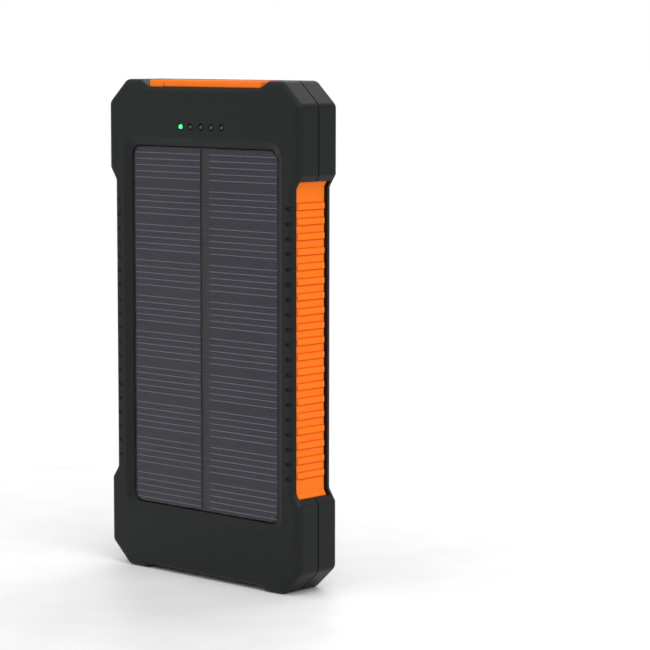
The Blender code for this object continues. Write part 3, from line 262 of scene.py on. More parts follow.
def clear_plastic(name, tint, roughness, strength=1.0):
    """Clear plastic or resin that lets light through and mirrors at its surface."""
    mat = bpy.data.materials.new(name)
    mat.use_nodes = True
    tree = mat.node_tree
    links = tree.links
    tree.nodes.remove(tree.nodes["Principled BSDF"])
    through = add_node(tree, "BsdfTransparent", Color=(*tint, 1))
    gloss = add_node(tree, "BsdfGlossy", Roughness=roughness, Color=(strength, strength, strength, 1))
    facing = add_node(tree, "LayerWeight", Blend=0.5)
    power = add_node(tree, "Math")
    power.operation = "POWER"
    power.inputs[1].default_value = 4
    mirror = add_node(tree, "MapRange", To_Min=0.008, To_Max=0.6)
    coordinates = add_node(tree, "TexCoord")
    grain = add_node(tree, "TexNoise", Scale=900)
    bump = add_node(tree, "Bump", Strength=0.02, Distance=0.01 * MM)
    mix = add_node(tree, "MixShader")
    links.new(coordinates.outputs["Object"], grain.inputs["Vector"])
    links.new(grain.outputs["Fac"], bump.inputs["Height"])
    links.new(bump.outputs["Normal"], gloss.inputs["Normal"])
    links.new(facing.outputs["Facing"], power.inputs[0])
    links.new(power.outputs["Value"], mirror.inputs["Value"])
    links.new(mirror.outputs["Result"], mix.inputs[0])
    links.new(through.outputs["BSDF"], mix.inputs[1])
    links.new(gloss.outputs["BSDF"], mix.inputs[2])
    links.new(mix.outputs["Shader"], tree.nodes["Material Output"].inputs["Surface"])
    return mat


def make_materials():
    mats = {}
    # Use, then what moulded() takes: name, colour, roughness, grain, spread and specular level
    plain = (
        ("white_plastic", "white_plastic", (0.78, 0.78, 0.75), 0.4, 0.005),
        ("board_white", "white_solder_mask", (0.72, 0.72, 0.7), 0.4, 0.004),
        ("led_yellow", "led_phosphor", (0.85, 0.72, 0.16), 0.3, 0.004),
        ("indicator_dark", "dark_indicator", (0.03, 0.05, 0.035), 0.25, 0.002),
        ("ferrite", "ferrite", (0.08, 0.08, 0.09), 0.65, 0.02),
        ("lead_red", "red_insulation", (0.55, 0.02, 0.015), 0.45, 0.004),
        ("lead_black", "black_insulation", (0.02, 0.02, 0.02), 0.45, 0.004),
        ("dial_black", "dial_black", (0.008, 0.009, 0.009), 0.4, 0.001),
        ("dial_white", "dial_white", (0.75, 0.76, 0.74), 0.5, 0.001),
        ("dial_red", "dial_red", (0.75, 0.2, 0.2), 0.5, 0.001),
        ("black_shell", "soft_black", (0.0105, 0.0118, 0.0118), 0.46, 0.014, 0.04, 0.16),
        ("orange_rubber", "orange_rubber", (0.95, 0.185, 0.008), 0.55, 0.008, 0.04, 0.15),
        ("panel_black", "panel_laminate", (0.014, 0.0145, 0.015), 0.45, 0.001, 0.03, 0.3),
        ("black_plastic", "black_plastic", (0.009, 0.0095, 0.0095), 0.36, 0.01, 0.06, 0.28),
        ("compass_green", "dial_green", (0.002, 0.1, 0.05), 0.4, 0.001, 0.06, 0.2),
    )
    for use, *look in plain:
        mats[use] = moulded(*look).mat

    cell = Paint("silicon", (0.012, 0.0122, 0.021), 0.35, 0.0, Specular_IOR_Level=0.3)
    cell.tint(cell.voronoi(0.22, "Color"), (0.009, 0.0095, 0.02))
    cell.tint(cell.ramp(cell.noise(0.12, 3), -0.4, 0.7), (0.02, 0.02, 0.028))
    cell.vary_roughness(cell.noise(1.1, 3), 0.06)
    cell.bump(cell.noise(6, 2), 0.0008)
    mats["solar_cell"] = cell.mat
    mats["silver_paste"] = brushed("silver_paste", (0.23, 0.23, 0.26), 0.45, (0.2, 1, 4), 0.001).mat
    mats["clear"] = clear_plastic("panel_resin", (0.97, 0.97, 0.98), 0.12, 0.8)
    mats["clear_dome"] = clear_plastic("clear_dome", (0.97, 0.98, 0.98), 0.03)

    lens = moulded("frosted_lens", (0.66, 0.67, 0.78), 0.42, 0.006, 0.05, Subsurface_Weight=0.35)
    lens.set("Subsurface Radius", (0.8 * MM, 0.8 * MM, 0.9 * MM))
    lens.set("Subsurface Scale", 1.0)
    mats["frosted_white"] = lens.mat
    lit = moulded("lit_indicator", (0.05, 0.8, 0.2), 0.3, 0.002)
    lit.set("Emission Color", (0.06, 1.0, 0.25, 1))
    lit.set("Emission Strength", 1.6)
    mats["indicator_lit"] = lit.mat

    mats["black_steel"] = brushed("black_oxide", (0.05, 0.05, 0.05), 0.38, (1, 1, 1)).mat
    mats["nickel"] = brushed("nickel_plate", (0.77, 0.74, 0.7), 0.2, (0.3, 0.3, 2)).mat
    mats["gold"] = brushed("gold_flash", (0.9, 0.6, 0.2), 0.25, (1, 1, 0.2)).mat
    mats["brass"] = brushed("turned_brass", (0.76, 0.55, 0.24), 0.3, (1, 4, 1)).mat
    green = moulded("solder_mask", (0.02, 0.17, 0.06), 0.35, 0.004)
    green.tint(green.step(green.voronoi(0.5), 0.02, 0.05), (0.012, 0.11, 0.035))
    mats["circuit_green"] = green.mat
    foil = brushed("pouch_foil", (0.62, 0.62, 0.64), 0.34, (1, 1, 0.3), 0.03)
    foil.bump(foil.noise(0.25, 3), 0.12)
    mats["battery_foil"] = foil.mat
    foam = moulded("foam", (0.09, 0.09, 0.09), 0.95, 0.02)
    foam.bump(foam.voronoi(2.2), 0.2)
    mats["foam"] = foam.mat

    webbing = Paint("webbing", (0.006, 0.006, 0.0065), 0.7, Sheen_Weight=0.06, Specular_IOR_Level=0.2)
    fibres = webbing.wave(2.2, "Z", 1.2, (0, math.radians(38), 0))
    webbing.tint(webbing.ramp(fibres, -0.4, 0.8), (0.016, 0.016, 0.017))
    webbing.tint(webbing.ramp(webbing.noise(3.5, 3), -0.4, 0.7), (0.012, 0.012, 0.013))
    webbing.bump(fibres, 0.05)
    webbing.bump(webbing.noise(14, 2), 0.03)
    mats["webbing"] = webbing.mat

    enamel = Paint("black_enamel", (0.004, 0.004, 0.0045), 0.16, Specular_IOR_Level=0.35)
    enamel.vary_roughness(enamel.noise(0.6, 4), 0.06)
    enamel.bump(enamel.noise(1.2, 2), 0.01)
    mats["gloss_black"] = enamel.mat
    return mats


MATS = make_materials()


# Mesh tools

def smooth_step(value, start, end):
    share = min(max((value - start) / (end - start), 0), 1)
    return share * share * (3 - 2 * share)


def in_mm(points):
    """Scales rows of millimetre values to metres."""
    return [tuple(value * MM for value in point) for point in points]


def loft(loops, ring=False):
    """Joins loops with the same number of points by quads. Ends get caps, unless the last joins the first."""
    bm = bmesh.new()
    rows = [[bm.verts.new(point) for point in loop] for loop in loops]
    pairs = list(zip(rows, rows[1:]))
    if ring:
        pairs.append((rows[-1], rows[0]))
    count = len(rows[0])
    for low, high in pairs:
        for i in range(count):
            j = (i + 1) % count
            bm.faces.new((low[i], low[j], high[j], high[i]))
    if not ring:
        bm.faces.new(rows[0][::-1])
        bm.faces.new(rows[-1])
    return bm


def box(low, high):
    low = Vector(low)
    size = Vector(high) - low
    bm = bmesh.new()
    place = Matrix.Translation(low + size / 2) @ Matrix.Diagonal((*size, 1))
    bmesh.ops.create_cube(bm, size=1, matrix=place)
    return bm


def turned(profile, steps, axis="Y", ripple=None):
    """Turns (radius, height) points about an axis. ripple(radius, angle) may change a radius."""
    bm = bmesh.new()
    rows = []
    for radius, height in profile:
        row = []
        for i in range(steps if radius > 0 else 1):
            angle = 2 * math.pi * i / steps
            reach = ripple(radius, angle) if ripple else radius
            a = reach * math.cos(angle)
            b = reach * math.sin(angle)
            row.append(bm.verts.new({"X": (height, a, b), "Y": (a, height, b), "Z": (a, b, height)}[axis]))
        rows.append(row)
    pairs = list(zip(rows, rows[1:]))
    if len(rows[0]) > 1:
        pairs.append((rows[-1], rows[0]))
    for low, high in pairs:
        for i in range(steps):
            j = (i + 1) % steps
            corners = [low[i % len(low)], low[j % len(low)], high[j % len(high)], high[i % len(high)]]
            bm.faces.new(list(dict.fromkeys(corners)))
    return bm


def cylinder(radius, low, high, steps=32, axis="Y"):
    return turned([(0, low), (radius, low), (radius, high), (0, high)], steps, axis)


def as_mesh(shape, name="shape"):
    mesh = bpy.data.meshes.new(name)
    shape.to_mesh(mesh)
    shape.free()
    return mesh


def gather(shapes):
    """Puts shapes that don't touch into one."""
    whole = bmesh.new()
    for shape in shapes:
        mesh = as_mesh(shape)
        whole.from_mesh(mesh)
        bpy.data.meshes.remove(mesh)
    return whole


def moved(shape, *place):
    shape.transform(Matrix.Translation(place))
    return shape


def temporary(shape):
    bmesh.ops.recalc_face_normals(shape, faces=shape.faces)
    return linked("shape", as_mesh(shape))


def carve(shape, joins=(), cuts=(), keeps=()):
    """Joins, cuts and crops a shape with exact Booleans."""
    target = temporary(shape)
    tools = []
    for operation, others in (("UNION", joins), ("DIFFERENCE", cuts), ("INTERSECT", keeps)):
        for other in others:
            tools.append(temporary(other))
            modifier = target.modifiers.new("boolean", "BOOLEAN")
            modifier.operation = operation
            modifier.object = tools[-1]
            modifier.solver = "EXACT"
    evaluated = target.evaluated_get(bpy.context.evaluated_depsgraph_get())
    result = bmesh.new()
    result.from_mesh(evaluated.to_mesh())
    evaluated.to_mesh_clear()
    for obj in (target, *tools):
        mesh = obj.data
        bpy.data.objects.remove(obj)
        bpy.data.meshes.remove(mesh)
    return result


def piece(name, shape, mat, body, slot=None, nodes=(), smooth=35, place=(0, 0, 0)):
    """Makes one shown piece, which rides on a body and may stand for frame nodes."""
    shape.transform(Matrix.Translation(Vector(place) + Vector((0, MID_Y, 0))))
    bmesh.ops.remove_doubles(shape, verts=shape.verts, dist=0.002 * MM)
    bmesh.ops.recalc_face_normals(shape, faces=shape.faces)
    mesh = as_mesh(shape, name)
    mesh.materials.append(MATS[mat])
    mesh.shade_smooth()
    mesh.set_sharp_from_angle(angle=math.radians(smooth))
    obj = linked(name, mesh)
    weighted = obj.modifiers.new("normals", "WEIGHTED_NORMAL")
    weighted.keep_sharp = True
    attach(obj, body)
    if nodes:
        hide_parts(*nodes)
    return obj


def turned_piece(name, profile, steps, *rest):
    """A piece turned about the Y axis from millimetre points."""
    piece(name, turned(in_mm(profile), steps), *rest)


def offset_corner(before, corner, after, distance):
    first = (corner - before).normalized()
    second = (after - corner).normalized()
    normal_a = Vector((-first.y, first.x))
    normal_b = Vector((-second.y, second.x))
    middle = (normal_a + normal_b).normalized()
    return corner + middle * (distance / middle.dot(normal_a))


def offset_outline(points, distance):
    """Insets a closed counter-clockwise outline by a distance."""
    flat = [Vector(point) for point in points]
    count = len(flat)
    return [offset_corner(flat[i - 1], flat[i], flat[(i + 1) % count], distance) for i in range(count)]


def offset_path(points, distance):
    """Moves an open path to its left by a distance."""
    flat = [Vector(point) for point in points]
    before = [2 * flat[0] - flat[1], *flat[:-1]]
    after = [*flat[1:], 2 * flat[-1] - flat[-2]]
    return [offset_corner(a, b, c, distance) for a, b, c in zip(before, flat, after)]


def soften(corners, inset=0.0, steps=4):
    """Insets a counter-clockwise outline of (x, z, radius) corners and rounds each one."""
    flat = offset_outline([corner[:2] for corner in corners], inset)
    outline = []
    for i, point in enumerate(flat):
        before = (flat[i - 1] - point).normalized()
        after = (flat[(i + 1) % len(flat)] - point).normalized()
        outward = before.cross(after) < 0
        radius = max(corners[i][2] - inset, 0.05 * MM) if outward else corners[i][2] + inset
        angle = before.angle(after)
        centre = point + (before + after).normalized() * (radius / math.sin(angle / 2))
        arm = point + before * (radius / math.tan(angle / 2)) - centre
        sweep = (math.pi - angle) * (1 if outward else -1)
        for k in range(steps + 1):
            outline.append(centre + Matrix.Rotation(sweep * k / steps, 2) @ arm)
    return outline


def rectangle(half, low, high, radius):
    """Corners for soften(): a rectangle from -half to half, and from low to high."""
    return [(half, low, radius), (half, high, radius), (-half, high, radius), (-half, low, radius)]


def at_depth(outline, y):
    return [(point[0], y, point[1]) for point in outline]


def at_height(outline, z):
    return [(point[0], point[1], z) for point in outline]


def across(outline, x):
    return [(x, point[0], point[1]) for point in outline]


def mirrored(half):
    return half + [(-x, *rest) for x, *rest in reversed(half)]


# Shells

def body_corners(top_recess):
    bumper = 2.4 * MM
    ramp = 1.2 * MM
    half = [
        (BOTTOM_RAMP[0], BOTTOM_RECESS, ramp),
        (BOTTOM_RAMP[1], 0, ramp),
        (HALF_WIDTH - CORNER[0], 0, bumper),
        (HALF_WIDTH, CORNER[1], bumper),
        (HALF_WIDTH, RAMP_BOTTOM[1], ramp),
        (RECESS_X, RAMP_BOTTOM[0], ramp),
        (RECESS_X, RAMP_TOP[0], ramp),
        (HALF_WIDTH, RAMP_TOP[1], ramp),
        (HALF_WIDTH, BODY_HEIGHT - CORNER[1], bumper),
        (HALF_WIDTH - CORNER[0], BODY_HEIGHT, bumper),
    ]
    if top_recess:
        half += [(TOP_RAMP[1], BODY_HEIGHT, ramp), (TOP_RAMP[0], BODY_HEIGHT - top_recess, ramp)]
    return mirrored(half)


def shell_tray(face, inner, seam, top_recess):
    """A tray with a rounded outer edge and a fine chamfer at the seam."""
    corners = body_corners(top_recess)
    inward = 1 if seam > face else -1
    steps = 9
    chamfer = 0.12 * MM
    loops = []
    for i in range(steps + 1):
        angle = math.pi / 2 * i / steps
        inset = EDGE_ROUND * (1 - math.sin(angle))
        loops.append(at_depth(soften(corners, inset), face + inward * EDGE_ROUND * (1 - math.cos(angle))))
    loops.append(at_depth(soften(corners), seam - inward * chamfer))
    loops.append(at_depth(soften(corners, chamfer), seam))
    loops.append(at_depth(soften(corners, WALL), seam))
    loops.append(at_depth(soften(corners, WALL), inner))
    return loft(loops)


def groove(side, reach, face, z):
    """One tilted slot across a long edge, with drafted walls and a round inner end."""
    out = 1 if face > 0 else -1
    middle = sum(reach) / 2
    loops = []
    ends = ((0, 0.1, 0.04), (0.12, 0.26, 0.3), (0.45, 0.42, 0.6), (reach[1] / MM - reach[0] / MM, 0.5, 0.72))
    for along, wide, deep in ends:
        half = [(0.6, wide + 0.4), (0, wide + 0.12), (-deep, wide - 0.08)]
        section = half + [(y, -width) for y, width in reversed(half)]
        x = side * (reach[0] + along * MM - middle)
        loops.append([(x, face + out * y * MM, width * MM) for y, width in section])
    shape = loft(loops)
    tilt = Matrix.Rotation(-side * GROOVE_TILT, 4, "Y")
    shape.transform(Matrix.Translation((side * middle, 0, z)) @ tilt)
    return shape


def grooves(reach, face):
    rows = [GROOVE_FIRST_Z + i * GROOVE_PITCH for i in range(RIDGES)]
    return gather([groove(side, reach, face, z) for side in (-1, 1) for z in rows])


def side_path(side, reach):
    """The side recess's floor and part of both ramps, bottom to top."""
    span = (HALF_WIDTH - RECESS_X) * reach
    low = RAMP_BOTTOM[0] + (RAMP_BOTTOM[1] - RAMP_BOTTOM[0]) * reach
    high = RAMP_TOP[0] + (RAMP_TOP[1] - RAMP_TOP[0]) * reach
    floor = [(RECESS_X, RAMP_BOTTOM[0]), (RECESS_X, RAMP_TOP[0])]
    return [(side * x, z) for x, z in ((RECESS_X + span, low), *floor, (RECESS_X + span, high))]


def grip_pockets():
    slabs = []
    for side in (-1, 1):
        path = side_path(side, 0.54)
        outline = offset_path(path, side * -1.5 * MM) + offset_path(path, side * 1.8 * MM)[::-1]
        slabs.append(loft([at_depth(outline, GRIP_Y[0] - GAP), at_depth(outline, GRIP_Y[1] + GAP)]))
    return gather(slabs)


def cover_pocket():
    floor = COVER_TOP - COVER_THICK - GAP
    corners = rectangle(COVER_HALF + GAP, COVER_Y[0] - GAP, COVER_Y[1] + GAP, 0.9 * MM)
    return loft([at_height(soften(corners), z) for z in (floor, BODY_HEIGHT + 1 * MM)])


def socket_openings():
    boxes = []
    for x, wide, deep in ((-USB_X, 13.1, 5.7), (USB_X, 13.1, 5.7), (0, 7.6, 3)):
        half_x = wide * MM / 2 + GAP
        half_y = deep * MM / 2 + GAP
        low = (x - half_x, USB_Y - half_y, USB_MOUTH_Z - 8 * MM)
        boxes.append(box(low, (x + half_x, USB_Y + half_y, BODY_HEIGHT)))
    return gather(boxes)


def button_hole():
    corners = rectangle(5.3 * MM, -2.3 * MM, 2.3 * MM, 1.1 * MM)
    flare = 0.35 * MM
    profile = ((-flare, -1 * MM), (-flare, BOTTOM_RECESS), (0, BOTTOM_RECESS + flare), (0, 5 * MM))
    return loft([at_height(soften(corners, inset), z) for inset, z in profile])


def shared_cuts():
    return [grip_pockets(), cover_pocket(), socket_openings(), button_hole()]


def posts(radius, low, high):
    return gather([moved(cylinder(radius, low, high), x, 0, z) for x, z in SCREWS])


def panel_pocket():
    """Down from a rounded lip along a slope to the panel's edge, then straight."""
    corners = rectangle(PANEL_HALF, *PANEL_Z, PANEL_CORNER)
    lip = ((2.7, -1), (2.7, -0.01), (2.4, 0.03), (2.15, 0.12), (1.95, 0.25))
    foot = ((0.3, 1.0), (0.1, 1.12), (0, 1.3), (0, 2.75))
    return loft([at_depth(soften(corners, -reach * MM, 8), FRONT + deep * MM) for reach, deep in lip + foot])


def indicator_holes():
    flare = [(0, -1), (1.15, -1), (1.15, 0), (0.9, 0.25), (0.9, 5), (0, 5)]
    profile = [(radius * MM, FRONT + deep * MM) for radius, deep in flare]
    return gather([moved(turned(profile, 28), x, 0, INDICATOR_Z) for x in INDICATOR_X])


def label_groove():
    corners = rectangle(16 * MM, 41 * MM, 112.2 * MM, 4.5 * MM)
    profile = ((-0.06, 0.3), (-0.06, 0), (0.06, -0.38), (0.4, -0.38), (0.52, 0), (0.52, 0.3))
    return loft([at_depth(soften(corners, inset * MM, 8), BACK + y * MM) for inset, y in profile], ring=True)


def clip_scoop():
    """The shallow dish under the clip, which runs out at both ends."""
    loops = []
    steps = 28
    for k in range(13):
        share = k / 12
        z = (112.9 + 26.5 * share) * MM
        depth = (-0.3 + 1.6 * smooth_step(min(share, 1 - share), 0, 0.12)) * MM
        loop = []
        for i in range(steps + 1):
            across_share = 2 * i / steps - 1
            dish = math.cos(math.pi / 2 * across_share) ** 1.5
            loop.append((11 * MM * across_share, BACK - depth * dish + 0.2 * MM * (1 - dish), z))
        loops.append(loop + [(11 * MM, BACK + 3 * MM, z), (-11 * MM, BACK + 3 * MM, z)])
    return loft(loops)


def clip():
    """The lanyard clip: a root, a straight tongue and a flared free end, with the ring's seat cut out."""
    profile = [
        (7, 138.8, 0.3), (7, 135.5, 0.1), (8.4, 135.5, 0.4), (9.6, 134.8, 0.8),
        (10.2, 133.2, 1.2), (10.2, 117, 1.2), (9.4, 116.2, 0.5), (9, 115.4, 0.5),
        (9.3, 114.6, 0.5), (12, 113.2, 0.4), (13.1, 112.9, 0.3), (13.6, 113.5, 0.3),
        (12.2, 117.2, 2.5), (12.2, 135.8, 2), (11.8, 137.2, 2), (10.6, 138.2, 2),
    ]
    corners = in_mm(profile)
    loops = []
    for share, inset in ((0, 0.45), (0.06, 0.22), (0.18, 0.07), (0.4, 0)):
        loops.append(across(soften(corners, inset * MM), -CLIP_HALF + share * MM))
    loops += [[(-x, y, z) for x, y, z in loop] for loop in reversed(loops)]
    reach = CLIP_HALF + 0.8 * MM
    seat = [(0, -reach)]
    for i in range(13):
        x = reach * (i / 6 - 1)
        seat.append((1.62 * MM + RING_RADIUS - math.sqrt(RING_RADIUS**2 - x**2), x))
    seat.append((0, reach))
    return carve(loft(loops), cuts=[moved(turned(seat, 40, "X"), 0, *RING_AXIS)])


def counterbores():
    flare = [(0, 3.9), (2.05, 3.9), (2.05, 7.75), (2.25, 8), (2.25, 9), (0, 9)]
    return gather([moved(turned(in_mm(flare), 40), x, 0, z) for x, z in SCREWS])


def lamp_window():
    corners = rectangle(LAMP_HALF + GAP, LAMP_Z[0] - GAP, LAMP_Z[1] + GAP, LAMP_CORNER)
    flare = 0.25 * MM
    profile = ((0, BACK_INNER - 1 * MM), (0, BACK - 0.3 * MM), (-flare, BACK), (-flare, BACK + 1 * MM))
    return loft([at_depth(soften(corners, inset, 8), y) for inset, y in profile])


def build_shells():
    cuts = [panel_pocket(), box((-4 * MM, FRONT, 118 * MM), (4 * MM, FRONT_INNER + 1 * MM, 120.5 * MM))]
    cuts += [indicator_holes(), grooves((32.6 * MM, 39 * MM), FRONT), posts(SCREW_BORE, SCREW_TIP, BACK)]
    bosses = [posts(2.6 * MM, FRONT_INNER - 0.8 * MM, 2.1 * MM)]
    front = carve(shell_tray(FRONT, FRONT_INNER, -PARTING, 1.9 * MM), bosses, cuts + shared_cuts())
    piece("front_case", front, "black_shell", "charger", "black_shell", ["front_shell"])
    cuts = [lamp_window(), label_groove(), clip_scoop(), grooves((25 * MM, 39 * MM), BACK)]
    cuts += [posts(SCREW_BORE, SCREW_TIP, BACK), counterbores()]
    bosses = [posts(2.9 * MM, 2.4 * MM, BACK_INNER + 0.8 * MM)]
    rear = carve(shell_tray(BACK, BACK_INNER, PARTING, 0), bosses, cuts + shared_cuts())
    rear = carve(rear, joins=[clip()])
    piece("rear_case", rear, "black_shell", "charger", "black_shell", ["rear_shell"])


# Rubber pieces

def grip_stations(side):
    """Along the grip: (surface point, inner point, rib height, edge drop), bottom to top."""
    path = side_path(side, 0.42)
    surface = offset_path(path, side * 0.65 * MM)
    inner = offset_path(path, side * 1.75 * MM)
    stations = []
    for share, drop in ((0, 0.6), (0.02, 0.3), (0.08, 0.1), (0.2, 0), (0.55, 0), (0.9, 0)):
        stations.append((surface[0].lerp(surface[1], share), inner[0].lerp(inner[1], share), 0, drop * MM))
    half = RIB_WIDTH / 2
    rise = ((-1.4, 0), (-1.25, -0.1), (-1.1, -0.26), (-1.02, -0.1), (-0.98, 0.34), (-0.84, 0.47), (0, 0.5))
    edge = rise + tuple((-share, height) for share, height in rise[-2::-1])
    for i in range(RIDGES):
        for share, height in edge:
            z = RIB_FIRST_Z + i * RIB_PITCH + share * half
            stations.append((Vector((surface[1].x, z)), Vector((inner[1].x, z)), height * MM, 0))
    for share, drop in ((0.1, 0), (0.45, 0), (0.8, 0), (0.92, 0.1), (0.98, 0.3), (1, 0.6)):
        stations.append((surface[2].lerp(surface[3], share), inner[2].lerp(inner[3], share), 0, drop * MM))
    return stations


def build_grips():
    """Rubber side grips: a rounded border, and raised ribs that fade out into it."""
    rounding = ((0, 0.6, 0), (0.1, 0.32, 0), (0.25, 0.14, 0), (0.4, 0.08, 0))
    border = rounding + ((0.5, 0.03, 0.5), (0.65, 0, 0.9), (0.95, 0, 1))
    for side, word in SIDES:
        loops = []
        for surface, inner, height, drop in grip_stations(side):
            out = (surface - inner).normalized()
            outer_points = []
            for reach, low, lift in border:
                point = surface + out * (height * lift - max(low * MM, drop))
                outer_points.append((point.x, GRIP_Y[0] + reach * MM, point.y))
            low_side = outer_points
            high_side = [(x, GRIP_Y[1] + GRIP_Y[0] - y, z) for x, y, z in reversed(low_side)]
            back = [(inner.x, GRIP_Y[1], inner.y), (inner.x, GRIP_Y[0], inner.y)]
            loops.append(low_side + high_side + back)
        name = f"grip_rubber_{word}"
        piece(name, loft(loops), "orange_rubber", "charger", "orange_rubber", [f"side_grip_{word}"], 50)


def slab(corners, low, high, round_top, round_low=0.0):
    """A plate with its outline in X and Y, and rounded edges."""
    loops = []
    for radius, z, way in ((round_low, low, 1), (round_top, high, -1)):
        rows = []
        for i in range(6):
            angle = math.pi / 2 * i / 5
            rounded = soften(corners, radius * (1 - math.sin(angle)))
            rows.append(at_height(rounded, z + way * radius * (1 - math.cos(angle))))
        loops += rows if way > 0 else rows[::-1]
    return loft(loops)


def build_cover():
    right = [(COVER_HALF, COVER_Y[0], 1.2 * MM), (COVER_HALF, COVER_Y[1], 1.2 * MM)]
    corners = right + [(HINGE_X, COVER_Y[1], 0.2 * MM), (HINGE_X, COVER_Y[0], 0.2 * MM)]
    bottom = COVER_TOP - COVER_THICK
    cover = slab(corners, bottom, COVER_TOP, 0.45 * MM, 0.3 * MM)
    notches = []
    border = 1.4 * MM
    for i in range(4):
        notch = cylinder(0.28 * MM, COVER_Y[0] + border, COVER_Y[1] - border, 12)
        notches.append(moved(notch, COVER_HALF - (1.6 + 1.1 * i) * MM, 0, COVER_TOP + 0.12 * MM))
    cover = carve(cover, cuts=[gather(notches)])
    piece("port_cover_flap", cover, "orange_rubber", "port_cover", "orange_rubber", ["port_cover"])
    left = [(-COVER_HALF, COVER_Y[1], 0.6 * MM), (-COVER_HALF, COVER_Y[0], 0.6 * MM)]
    corners = [(HINGE_X - GAP, COVER_Y[0], 0.2 * MM), (HINGE_X - GAP, COVER_Y[1], 0.2 * MM)] + left
    tail = slab(corners, bottom, COVER_TOP, 0.45 * MM, 0.1 * MM)
    piece("port_cover_root", tail, "orange_rubber", "charger", "orange_rubber", ["port_cover_tail"])


def build_button():
    corners = rectangle(5 * MM, -2 * MM, 2 * MM, 0.9 * MM)
    loops = []
    pad = ((1.1, 0.5), (0.5, 0.47), (0.2, 0.56), (0.06, 0.72), (0, 0.95))
    for inset, z in pad + ((0, 4.5), (-1, 4.5), (-1, 5.2)):
        loops.append(at_height(soften(corners, inset * MM, 6), z * MM))
    piece("power_key", loft(loops), "orange_rubber", "power_button", "orange_rubber", ["power_button"])


# Solar panel, lamp and lights

def build_fingers():
    """Printed silver lines: groups of five thin strips across each column of cells."""
    near, far = 1.9 * MM, 28 * MM
    first, period, pitch, half = 121.1 * MM, 10.36 * MM, 1.785 * MM, 0.075 * MM
    for side, word in SIDES:
        strips = []
        for group in range(10):
            for line in range(5):
                z = first - group * period - line * pitch
                low_x, high_x = sorted((side * near, side * far))
                strips.append(box((low_x, -6.45 * MM, z - half), (high_x, -6.38 * MM, z + half)))
        piece(f"cell_fingers_{word}", gather(strips), "silver_paste", "charger", "solar_cell")


def build_lamp():
    corners = rectangle(LAMP_HALF, *LAMP_Z, LAMP_CORNER)
    under = BACK_INNER - GAP
    profile = ((1.6, 7.97), (0.8, 7.95), (0.4, 7.88), (0.12, 7.72), (0, 7.45), (0, under / MM))
    loops = [at_depth(soften(corners, inset * MM, 8), y * MM) for inset, y in profile]
    loops += [at_depth(soften(corners, -1.2 * MM, 8), y) for y in (under, under - 1 * MM)]
    piece("lamp_diffuser", loft(loops), "frosted_white", "charger", "frosted_white", ["lamp_lens"])


def build_indicators():
    profile = [(0, -7.98), (0.25, -7.97), (0.45, -7.9), (0.57, -7.76), (0.6, -7.6), (0.6, -4.4), (0, -4.4)]
    for i, x in enumerate(INDICATOR_X):
        mat = "indicator_dark" if i else "indicator_lit"
        node, place = f"indicator_{i + 1}", (x, 0, INDICATOR_Z)
        turned_piece(f"indicator_pipe_{i + 1}", profile, 28, mat, "charger", mat, [node], 50, place)


def build_contacts():
    """Gold contacts on the sockets' tongues."""
    for x, word in ((-USB_X, "left"), (USB_X, "right")):
        tongue = [value - Vector((0, MID_Y, 0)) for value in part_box(f"usb_tongue_{word}")]
        strips = []
        for i in range(4):
            middle = x + (i - 1.5) * 2.3 * MM
            reach = (0.6 if i in (0, 3) else 1.4) * MM
            low = (middle - 0.45 * MM, tongue[0].y - 0.12 * MM, tongue[0].z + 0.5 * MM)
            strips.append(box(low, (middle + 0.45 * MM, tongue[0].y + 0.1 * MM, tongue[1].z - reach)))
        piece(f"usb_contacts_{word}", gather(strips), "gold", "charger", "brass")


# Ring, strap and compass

def build_ring():
    """A split ring: flat wire in two turns, whose crossover lies between its ends."""
    radial, axial, corner, layer = 0.75 * MM, 0.5 * MM, 0.28 * MM, 0.53 * MM
    section = soften(rectangle(radial, -axial, axial, corner), 0, 3)
    cross, end, steps = 0.3, 0.36, 220
    loops = []
    for i in range(steps + 1):
        angle = end + (4 * math.pi - 2 * end) * i / steps
        height = layer * (2 * smooth_step(angle - 2 * math.pi, -cross, cross) - 1)
        taper = min(1, 0.55 + min(i, steps - i) * 0.15)
        loop = []
        for u, v in section:
            reach = RING_RADIUS + u * taper
            loop.append((reach * math.sin(angle), height + v * taper, -reach * math.cos(angle)))
        loops.append(loop)
    shape = loft(loops)
    hang = Matrix.Translation((0, *RING_AXIS)) @ Matrix.Rotation(RING_TILT, 4, "X")
    shape.transform(hang @ Matrix.Translation((0, 0, -RING_RADIUS)))
    piece("key_ring", shape, "nickel", "split_ring", "nickel", ["split_ring"], 50)


def bezier(a, b, c, d, steps):
    points = []
    for i in range(1, steps):
        t = i / steps
        points.append(a * (1 - t) ** 3 + b * 3 * t * (1 - t) ** 2 + c * 3 * t * t * (1 - t) + d * t**3)
    return points


def loop_path(radius, lay, depth, opening):
    """Half of an eye, from its far point round to where both layers meet, as (y, z) from its centre."""
    points = []
    for i in range(11):
        angle = opening * i / 10
        points.append(Vector((radius * math.sin(angle), radius * math.cos(angle))))
    along = Vector((math.cos(opening), -math.sin(opening)))
    finish = Vector((lay, -depth))
    handle = depth * 0.32
    points += bezier(points[-1], points[-1] + along * handle, finish + Vector((0, handle)), finish, 12)
    points.append(finish)
    return points


def evened(points, step):
    """Points at even distances along a closed path."""
    closed = points + [points[0]]
    lengths = [0.0]
    for a, b in zip(closed, closed[1:]):
        lengths.append(lengths[-1] + (b - a).length)
    count = round(lengths[-1] / step)
    found = []
    index = 0
    for i in range(count):
        target = lengths[-1] * i / count
        while lengths[index + 1] < target:
            index += 1
        share = (target - lengths[index]) / (lengths[index + 1] - lengths[index])
        found.append(closed[index].lerp(closed[index + 1], share))
    return found, lengths[-1]


